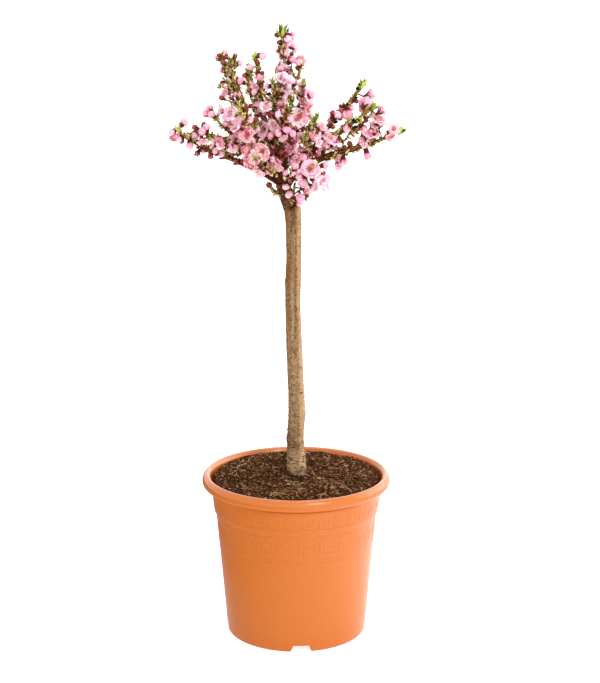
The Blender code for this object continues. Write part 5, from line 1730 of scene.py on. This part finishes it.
def finer_twigs(grown):
    """The rule carried further: short spurs on every twig, each inside the twig's reach."""
    draw = random.Random("finer")
    finer = []
    for twigs, _ in grown.values():
        for twig in twigs:
            long = length_of(twig.points)
            place = draw.uniform(0.2, 1.0) * FINER_EVERY
            angle = draw.uniform(0, 2 * math.pi)
            while place < long - 0.003:
                share = place / long
                angle += GOLDEN_TURN
                onward = direction_at(twig.points, share)
                out = leaning(onward, angle, math.radians(draw.uniform(*FINER_TILTS)))
                start = along(twig.points, share)
                later = 0.5 * onward + 0.5 * out + np.array([0, 0, TWIG_UPTURN])
                later /= np.linalg.norm(later)
                end = start + draw.uniform(*FINER_REACH) * (0.6 * out + 0.4 * later)
                line = bent_line(start, end, out, later, 6)
                at = twig.start_share + share * (twig.end_share - twig.start_share)
                if not in_sky(line):
                    finer.append(Twig(line, FINER_RADIUS, 0.6 * FINER_RADIUS, at, min(at + 0.3, 1.0)))
                place += FINER_EVERY * draw.uniform(0.7, 1.3)
    return finer


def seen_shoot(shoot, wood):
    """A short shoot that the photograph shows, as a twig from the wood that holds it."""
    root, direction, long, held_by, _ = held_tuft(shoot, wood)
    onward = root + direction * long * np.array([[0.0], [0.5], [1.0]])
    line = smooth_line(np.vstack([held_by, onward]), 12)
    return Twig(line, *SHOOT_RADII, 0.3, 0.8)


def make_twigs(grown, finer, blooms, stalks, looks):
    """The bark of every twig, and the short stalks of the blossom."""
    roots = np.array([bloom.root for bloom in blooms])
    heap = Heap()
    for name, (twigs, _) in grown.items():
        for k, twig in enumerate(twigs):
            far = np.linalg.norm(twig.points[:, None] - roots[None], axis=2)
            close = far.min(axis=0) < 0.0035
            knobs = far.argmin(axis=0)[close] / (len(twig.points) - 1)
            radii = np.linspace(twig.start_radius, twig.end_radius, 9)
            wood_tube(
                heap, twig.points, radii, 9, twig.start_share, twig.end_share, f"{name} {k}",
                sorted(set(knobs)),
            )
    for k, twig in enumerate(finer):
        radii = np.linspace(twig.start_radius, twig.end_radius, 5)
        wood_tube(heap, twig.points, radii, 6, twig.start_share, twig.end_share, f"finer {k}")
    for k, (start, end) in enumerate(stalks):
        line = start + (end - start) * np.linspace(0, 1, 5)[:, None]
        radii = np.linspace(0.0011, 0.0008, 5)
        wood_tube(heap, line, radii, 7, 0.2, 0.6, f"stalk {k}")
    heap.make("twig_bark", wood_tones(looks), "young_bark")


# Blossom and leaves

def petal(long, wide, rise, spread, cup, ruffle, draw, rows=8, columns=6):
    """A petal from its claw at the origin, leaning out along +X, as a grid of points."""
    v = np.linspace(0, 1, rows)[:, None]
    u = np.linspace(-1, 1, columns)[None, :]
    claw = 0.24 + 0.76 * np.sin(np.clip(v / 0.55, 0, 1) * math.pi / 2) ** 1.2
    blade = np.sqrt(np.clip(1 - ((v - 0.55) / 0.50) ** 2, 0.05, 1))
    half = wide / 2 * np.where(v < 0.55, claw, blade)
    reach = v - 0.10 * u ** 2 * v ** 2 - 0.03 * np.exp(-((u / 0.3) ** 2)) * v ** 6
    out = spread * reach ** 1.2
    up = rise * np.sin(reach * math.pi / 2) ** 0.85
    curl = cup * u ** 2 * half
    lean = math.atan2(rise * 0.6, spread)
    phase = draw.uniform(0, 6.28)
    wave = ruffle * np.sin(u * 4.4 + phase + 3 * v) * v ** 1.5
    back = 0.10 * long * np.clip(v - 0.7, 0, 1) ** 2 * 3
    x = out - curl * math.sin(lean) + wave * 0.4 + back
    z = up + curl * math.cos(lean) + wave - back
    return np.stack([x, np.broadcast_to(u * half, x.shape), z], -1)


def calyx_shapes(radius, height, spread, draw):
    """A bell with five pointed lobes. spread 0 stands them upright, 1 lays them out."""
    levels = np.array([0.0, 0.12, 0.5, 1.0, 0.9])
    widths = np.array([0.30, 0.62, 0.95, 0.94, 0.5])
    sides = 8
    angles = np.arange(sides) * 2 * math.pi / sides
    rings = np.array([
        np.stack([radius * w * np.cos(angles), radius * w * np.sin(angles), 0 * angles + height * l], 1)
        for l, w in zip(levels, widths)
    ])
    shapes = [(rings.reshape(-1, 3), turned_faces(rings), 0)]
    v = np.linspace(0, 1, 3)[:, None]
    u = np.linspace(-1, 1, 3)[None, :]
    lean = math.radians(8 + 55 * spread)
    for k in range(PETALS):
        long = 0.0045 * draw.uniform(0.9, 1.1)
        half = 0.0015 * np.maximum(1 - v ** 1.9, 0.08)
        out = radius * 0.92 + long * v * math.sin(lean) - 0.0003 * u ** 2
        up = height * 0.90 + long * v * math.cos(lean) + 0.0003 * u ** 2
        sheet = np.stack([out, u * half, up], -1)
        points, faces = shell(about_axis(sheet, 2 * math.pi * (k + 0.5) / PETALS), 0.0003)
        shapes.append((points, faces, 1))
    return shapes


def cup_flower(kind, draw):
    """The petals, calyx and stamens of one open or half-open flower."""
    radius, height = REACHES[kind]
    opened = kind == "open"
    base = 0.40 * height
    petals, stamens = [], []
    inner_count = draw.choice((0, 2, 3, 4)) if opened else 3
    for k in range(PETALS + inner_count):
        inner = k >= PETALS
        folded = inner and not opened
        size = 0.66 if inner else 1.0
        rows, columns = (6, 5) if inner else (8, 6)
        turn = 2 * math.pi * (k + 0.5 * inner) / (3 if folded else PETALS) + draw.uniform(-0.25, 0.25)
        spread = size * radius * draw.uniform(0.66, 1.0) * (0.55 if folded else 1.0) - 0.0011
        rise = (height - base) * draw.uniform(0.70, 1.10) * (0.9 if opened else 1.0)
        wide = size * radius * draw.uniform(0.95, 1.18) * (1.12 if opened else 1.25)
        wide *= 1.35 if folded else 1.0
        cup = draw.uniform(0.22, 0.50) if opened else 0.42
        sheet = petal(size * radius, wide, rise, spread, cup, 0.0014, draw, rows, columns)
        if folded:
            inward = np.clip(sheet[..., 2] / rise - 0.35, 0, 1)
            sheet = sheet * np.stack([1 - 1.3 * inward, 1 - 0.4 * inward, 1 + 0 * inward], -1)
        sheet = sheet + (0.0011, 0, base + 0.0004 * (k % 2))
        points, faces = shell(about_axis(sheet, turn), 0.00024)
        shift = draw.choice((-1, 0, 0, 1))
        tones = np.clip(3 - sheet_tones(rows, columns, PETAL_EDGES) + shift, 0, 3)
        petals.append((points, faces, tones))
    calyx = calyx_shapes(0.0021, base, 1.0 if opened else 0.6, draw)
    heart = egg(0.0025, base - 0.0006, base + 0.0007, 8, 4)
    stamens.append((heart.reshape(-1, 3), turned_faces(heart), 2))
    for k in range(17 if opened else 6):
        turn = k * GOLDEN_TURN
        lean = draw.uniform(0.35, 0.95) if opened else draw.uniform(0.05, 0.45)
        long = draw.uniform(0.0040, 0.0056) * (1.0 if opened else 1.2)
        out = np.array([math.cos(turn), math.sin(turn), 0.0])
        direction = math.sin(lean) * out + np.array([0, 0, math.cos(lean)])
        start = 0.0008 * out + (0, 0, base - 0.0002)
        line = start + direction * long * np.array([[0.0], [0.5], [1.0]])
        rings = tube_rings(line, np.array([0.00018, 0.00015, 0.00012]), 3)
        stamens.append((rings.reshape(-1, 3), turned_faces(rings), 0))
        stamens.append(anther(line[-1], direction))
    return petals, calyx, stamens


def anther(place, direction):
    rings = np.array([
        [(0.00064 * r * math.cos(a), 0.00056 * r * math.sin(a), 0.00072 * z)
         for a in np.arange(5) * 2 * math.pi / 5]
        for z, r in ((-1.0, 0.05), (-0.55, 0.9), (0.55, 0.9), (1.0, 0.05))
    ])
    return rings.reshape(-1, 3) @ facing(direction).T + place, turned_faces(rings), 1


def egg(radius, low, high, sides, rows, fullness=0.5):
    """A closed egg about +Z, from low to high, widest at fullness."""
    t = np.linspace(0.02, 0.985, rows)
    angles = np.arange(sides) * 2 * math.pi / sides
    rings = np.array([
        np.stack([w * np.cos(angles), w * np.sin(angles), 0 * angles + low + (high - low) * s], 1)
        for s, w in zip(t, radius * egg_width(t, fullness))
    ])
    return np.concatenate([rings[:1] * (0.02, 0.02, 1), rings, rings[-1:] * (0.02, 0.02, 1)])


def egg_width(level, fullness):
    """The width of an egg at a level from 0 to 1, as a share of its widest."""
    below, above = 0.5 * level / fullness, 0.5 + 0.5 * (level - fullness) / (1 - fullness)
    return np.sin(np.pi * np.clip(np.where(level < fullness, below, above), 0.02, 0.97)) ** 0.75


def balloon_bud(draw):
    """A swollen bud: five petals wrapped over each other, in a calyx."""
    radius, height = REACHES["balloon"]
    base = 0.30 * height
    core = egg(radius * 0.90, base, height * 0.985, 8, 6, 0.45)
    petals = [(core.reshape(-1, 3), turned_faces(core), 1)]
    rows, columns = 6, 5
    v = np.linspace(0, 1, rows)[:, None]
    u = np.linspace(-1, 1, columns)[None, :]
    for k in range(PETALS):
        half = math.radians(54) * np.sin(np.clip(0.25 + v * 0.62, 0, 1) * math.pi) ** 0.5
        azimuth = u * half + 0.3 * v
        level = 0.08 + 0.90 * v - 0.12 * u ** 2 * v
        out = radius * egg_width(level, 0.45) * (0.955 + 0.075 * u)
        sheet = np.stack([
            out * np.cos(azimuth), out * np.sin(azimuth), base + (height - base) * level
        ], -1)
        turn = 2 * math.pi * k / PETALS + draw.uniform(-0.12, 0.12)
        points, faces = shell(about_axis(sheet, turn), 0.00022)
        petals.append((points, faces, 3 - sheet_tones(rows, columns, PETAL_EDGES, 0.22)))
    return petals, calyx_shapes(0.0031, base * 1.30, 0.16, draw)


def tight_bud(draw):
    """A small bud, its rosy tip held by dark sepals."""
    radius, height = REACHES["bud"]
    base = 0.42 * height
    tip = egg(radius * 0.86, base * 0.8, height, 8, 6, 0.42)
    calyx = calyx_shapes(0.0019, base, 0.0, draw)
    v = np.linspace(0, 1, 4)[:, None]
    u = np.linspace(-1, 1, 3)[None, :]
    for k in range(PETALS):
        half = math.radians(40) * np.maximum(1 - v ** 2.2, 0.05)
        out = radius * np.sin(np.pi * np.clip(0.16 + 0.62 * v, 0, 1)) ** 0.8
        level = base * 0.7 + (height - base * 0.7) * (0.05 + 0.60 * v)
        sheet = np.stack([out * np.cos(u * half), out * np.sin(u * half), level + 0 * u], -1)
        points, faces = shell(about_axis(sheet, 2 * math.pi * k / PETALS + 0.3), 0.0003)
        calyx.append((points, faces, 1))
    return [(tip.reshape(-1, 3), turned_faces(tip), 0)], calyx


def leaf_shape(draw, long, wide):
    """A young leaf along +Z from its foot at the origin, folded along its rib."""
    v = np.linspace(0, 1, 6)[:, None]
    u = np.linspace(-1, 1, 3)[None, :]
    fold, curl = draw.uniform(0.5, 0.95), draw.uniform(-0.1, 0.3)
    half = wide / 2 * np.maximum(np.sin(np.pi * v ** 0.8) ** 0.8, 0.12)
    lift = -np.abs(u) * half * math.sin(fold) - curl * long * v ** 2
    up = long * v * (1 - 0.15 * curl) + 0 * u
    return shell(np.stack([u * half * math.cos(fold), lift, up], -1), 0.00024)


def bract_shape(draw):
    """A small pointed scale that hugs the stem at a bud's foot."""
    v = np.linspace(0, 1, 3)[:, None]
    u = np.linspace(-1, 1, 2)[None, :]
    half = 0.0014 * np.maximum(1 - v ** 2, 0.1)
    out = 0.0006 + 0.0014 * np.sin(v * 1.9) - 0.0003 * u ** 2
    up = 0.0036 * v * draw.uniform(0.8, 1.3) + 0 * u
    return shell(np.stack([out, u * half, up], -1), 0.0003)


def in_box(points):
    """Whether points stay inside the CAD model's box."""
    low, high = np.array(cad_box) - PLACE
    return bool((points > low).all() and (points < high).all())


class Blossom:
    """The small parts of the crown, gathered by kind."""

    def __init__(self):
        self.draw = random.Random("blossom")
        self.cups = {kind: [cup_flower(kind, self.draw) for _ in range(12)] for kind in CUPS}
        self.balloons = [balloon_bud(self.draw) for _ in range(5)]
        self.buds = [tight_bud(self.draw) for _ in range(5)]
        self.leaves = [leaf_shape(self.draw, LEAF_LENGTH, LEAF_BREADTH) for _ in range(7)]
        self.leaflets = [leaf_shape(self.draw, *LEAFLET) for _ in range(6)]
        self.bracts = [bract_shape(self.draw) for _ in range(5)]
        self.petals, self.calyces, self.stamens = Heap(), Heap(), Heap()
        self.greens, self.scales = Heap(), Heap()

    def add(self, bloom):
        draw = self.draw
        if bloom.kind in CUPS:
            fuller = FULLER if bloom.root[1] < BACK else BACK_FULLER
            bloom = bloom._replace(size=bloom.size * fuller)
        while not in_box(test_points(bloom)):
            bloom = bloom._replace(size=bloom.size * 0.97)
        if bloom.kind == "leaf":
            self.tuft(bloom)
            return
        turn = facing(bloom.direction, bloom.spin)
        if bloom.kind in CUPS:
            petals, calyx, stamens = draw.choice(self.cups[bloom.kind])
            tones = WHITE_TONES if bloom.pale else draw.choice(CUP_TONES[bloom.kind])
            self.gather(self.stamens, stamens, turn, bloom)
        elif bloom.kind == "balloon":
            petals, calyx = draw.choice(self.balloons)
            tones = draw.choice(BALLOON_TONES)
        else:
            petals, calyx = draw.choice(self.buds)
            tones = draw.choice(BUD_TONES)
        self.gather(self.petals, petals, turn, bloom, tones)
        self.gather(self.calyces, calyx, turn, bloom)
        for k in range(2):
            points, faces = draw.choice(self.bracts)
            spun = facing(bloom.direction, bloom.spin + k * 2.6)
            self.scales.add(points @ spun.T + bloom.root, faces, k)

    def gather(self, heap, shapes, turn, bloom, tones=None):
        for points, faces, shades in shapes:
            if tones is not None:
                shades = np.asarray(tones)[np.broadcast_to(shades, len(faces))]
            heap.add(points * bloom.size @ turn.T + bloom.root, faces, shades)

    def tuft(self, bloom):
        """A few young leaves together, in the place of one leaf of the rule."""
        draw = self.draw
        for k in range(3):
            points, faces = draw.choice(self.leaves)
            lean = leaning(bloom.direction, draw.uniform(0, 6.28), math.radians(3 + 9 * k))
            turn = facing(lean, draw.uniform(0, 6.28))
            scaled = points * bloom.size * (1 - 0.16 * k)
            self.greens.add(scaled @ turn.T + bloom.root, faces, draw.choice(LEAF_TONES))

    def seen_tuft(self, root, direction, long):
        """A spray of young leaves of a length, where the photograph shows one."""
        draw = self.draw
        for k in range(SPRAY):
            points, faces = draw.choice(self.leaves)
            tilt = math.radians(float(np.interp(k, (0, SPRAY - 1), SPRAY_TILTS)))
            lean = leaning(direction, k * GOLDEN_TURN + draw.uniform(-0.4, 0.4), tilt)
            turn = facing(lean, draw.uniform(0, 6.28))
            size = long / LEAF_LENGTH * (1 - 0.35 * k / SPRAY)
            while not in_box(points * size @ turn.T + root):
                size *= 0.96
            self.greens.add(points * size @ turn.T + root, faces, draw.choice(LEAF_TONES))

    def leaf_bud(self, twig):
        """Leaflets or scales, close together, at the end of a spur."""
        draw = self.draw
        onward = direction_at(twig.points, 1.0)
        green = draw.random() < LEAFY
        for k in range(3):
            points, faces = draw.choice(self.leaflets if green else self.bracts)
            lean = leaning(onward, k * 2.1, math.radians(draw.uniform(4, 24)))
            turn = facing(lean, draw.uniform(0, 6.28))
            placed = points * draw.uniform(0.6, 1.05) @ turn.T + twig.points[-1]
            if green:
                self.greens.add(placed, faces, draw.choice(LEAF_TONES))
            else:
                self.scales.add(placed, faces, draw.choice(SCALE_TONES[1]))

    def clothe(self, twig):
        """Scales and leaflets all along a twig: brown at its foot, green at its tip."""
        draw = self.draw
        long = length_of(twig.points)
        place = draw.uniform(0.0, SCALE_EVERY)
        angle = draw.uniform(0, 2 * math.pi)
        while place < long:
            share = place / long
            angle += GOLDEN_TURN
            centre = along(twig.points, share)
            radius = twig.start_radius + share * (twig.end_radius - twig.start_radius)
            tilt = math.radians(draw.uniform(16, 56))
            out = leaning(direction_at(twig.points, share), angle, tilt)
            side = leaning(direction_at(twig.points, share), angle, math.pi / 2)
            whole = twig.start_share + share * (twig.end_share - twig.start_share)
            foot = centre + side * radius * 0.7
            turn = facing(out, draw.uniform(0, 6.28))
            if draw.random() < 0.02 + 0.15 * whole:
                points, faces = draw.choice(self.leaflets)
                size = draw.uniform(0.6, 1.15)
                self.greens.add(points * size @ turn.T + foot, faces, draw.choice(LEAF_TONES))
            else:
                points, faces = draw.choice(self.bracts)
                tone = draw.choice(SCALE_TONES[int(np.digitize(whole, SCALE_EDGES))])
                self.scales.add(points * draw.uniform(0.8, 1.6) @ turn.T + foot, faces, tone)
            place += SCALE_EVERY * draw.uniform(0.7, 1.3)

    def make(self, looks):
        nodes = ["shoot_" + name for name in list(LIMBS) + list(SPURS)]
        tones = ("white", "pale", "pink", "rose", "deep", "cream")
        petals = ["petal_" + tone for tone in tones]
        scales = ["scale_dark", "scale_brown", "scale_tan", "scale_olive", "scale_green"]
        for heap, name, tones, slot, stands_for in (
            (self.petals, "petals", petals, "blossom", nodes),
            (self.calyces, "calyces", ["calyx_red", "sepal_red"], "blossom", ()),
            (self.stamens, "stamens", ["filament", "anther", "heart_gold"], "blossom", ()),
            (self.greens, "young_leaves", ["leaf_green", "leaf_yellow", "leaf_dark"], "blossom", ()),
            (self.scales, "bud_scales", scales, "young_bark", ()),
        ):
            heap.make(name, [looks[tone] for tone in tones], slot, stands_for)


# Studio

def make_camera():
    data = bpy.data.cameras.new("camera")
    data.sensor_fit = "VERTICAL"
    data.sensor_height = SENSOR
    data.lens = FOCAL_PIXELS / FRAME_HEIGHT * SENSOR
    camera = bpy.data.objects.new("camera", data)
    camera.location = CAMERA_PLACE + PLACE
    camera.rotation_euler = (math.pi / 2 - CAMERA_DOWN, 0.0, 0.0)
    bpy.context.scene.collection.objects.link(camera)
    bpy.context.scene.camera = camera


def make_floor():
    work = bmesh.new()
    bmesh.ops.create_grid(work, x_segments=2, y_segments=2, size=FLOOR_SIZE)
    mesh = bpy.data.meshes.new("studio_floor")
    work.to_mesh(mesh)
    work.free()
    floor = bpy.data.objects.new("studio_floor", mesh)
    bpy.context.scene.collection.objects.link(floor)
    paint = bpy.data.materials.new("studio_white")
    paint.use_nodes = True
    shader = paint.node_tree.nodes["Principled BSDF"]
    shader.inputs["Roughness"].default_value = 1.0
    shader.inputs["Specular IOR Level"].default_value = 0.0
    shader.inputs["Emission Color"].default_value = (1.0, 1.0, 1.0, 1.0)
    nodes = Nodes(paint.node_tree)
    rays = nodes.add("LightPath")
    glossy = rays.outputs["Is Glossy Ray"]
    where = nodes.add("SeparateXYZ")
    nodes.join(nodes.place(), where, "Vector")
    card = nodes.spread(where.outputs["X"], -CARD_REACH, CARD_REACH, 0.0, CARD_GLOW)
    lit = nodes.sum("MULTIPLY", glossy, card)
    plain = nodes.sum("MULTIPLY", nodes.sum("SUBTRACT", 1.0, glossy), FLOOR_GLOW)
    plain = nodes.sum("ADD", plain, nodes.sum("MULTIPLY", rays.outputs["Is Camera Ray"], FLOOR_LIFT))
    nodes.join(nodes.sum("ADD", lit, plain), shader, "Emission Strength")
    white, grey = (0.9, 0.9, 0.9), (0.15, 0.15, 0.15)
    nodes.join(nodes.mix(glossy, white, grey), shader, "Base Color")
    mesh.materials.append(paint)


def make_light():
    world = bpy.data.worlds.new("studio")
    world.use_nodes = True
    nodes = Nodes(world.node_tree)
    rays = nodes.add("LightPath")
    seen = world.node_tree.nodes["Background"]
    seen.inputs["Strength"].default_value = SKY_LIGHT
    for ray, strength in (("Is Glossy Ray", SKY_SHINE), ("Is Camera Ray", 1.0)):
        sky = nodes.add("Background")
        sky.inputs["Strength"].default_value = strength
        mixed = nodes.add("MixShader")
        nodes.join(rays.outputs[ray], mixed, "Fac")
        world.node_tree.links.new(seen.outputs[0], mixed.inputs[1])
        world.node_tree.links.new(sky.outputs[0], mixed.inputs[2])
        seen = mixed
    for sky in world.node_tree.nodes:
        if sky.bl_idname == "ShaderNodeBackground":
            sky.inputs["Color"].default_value = (1, 1, 1, 1)
    nodes.join(seen.outputs[0], world.node_tree.nodes["World Output"], "Surface")
    bpy.context.scene.world = world
    for name, angle, rise, strength, wide in LAMPS:
        data = bpy.data.lights.new(name, "SUN")
        data.energy = strength
        data.angle = math.radians(wide)
        lamp = bpy.data.objects.new(name, data)
        lamp.rotation_euler = Vector(unit(angle, rise)).to_track_quat("Z", "Y").to_euler()
        bpy.context.scene.collection.objects.link(lamp)
    bpy.context.scene.view_settings.view_transform = "Standard"


def main():
    looks = make_materials()
    make_camera()
    make_light()
    make_floor()
    make_pot(looks["terracotta"])
    make_bands(looks["terracotta"])
    make_compost(looks)
    make_crumbs(looks)
    make_fibres(looks)
    lines = limb_lines()
    make_trunk(lines, looks)
    make_boughs(lines, looks)
    grown = {name: opened(*shoot) for name, shoot in shoots(lines).items()}
    blooms, stalks, wood = grow_crown(lines, grown)
    finer = finer_twigs(grown) + [seen_shoot(shoot, wood) for shoot in SHOOTS]
    tufts = [held_tuft(tuft, wood) for tuft in TUFTS]
    make_twigs(grown, finer, blooms, stalks + [tuft[3:] for tuft in tufts], looks)
    blossom = Blossom()
    for bloom in blooms:
        blossom.add(bloom)
    for root, direction, long, _, _ in tufts:
        blossom.seen_tuft(root, direction, long)
    for twigs, _ in grown.values():
        for twig in twigs:
            blossom.clothe(twig)
    for twig in finer:
        blossom.clothe(twig)
        blossom.leaf_bud(twig)
    blossom.make(looks)


main()
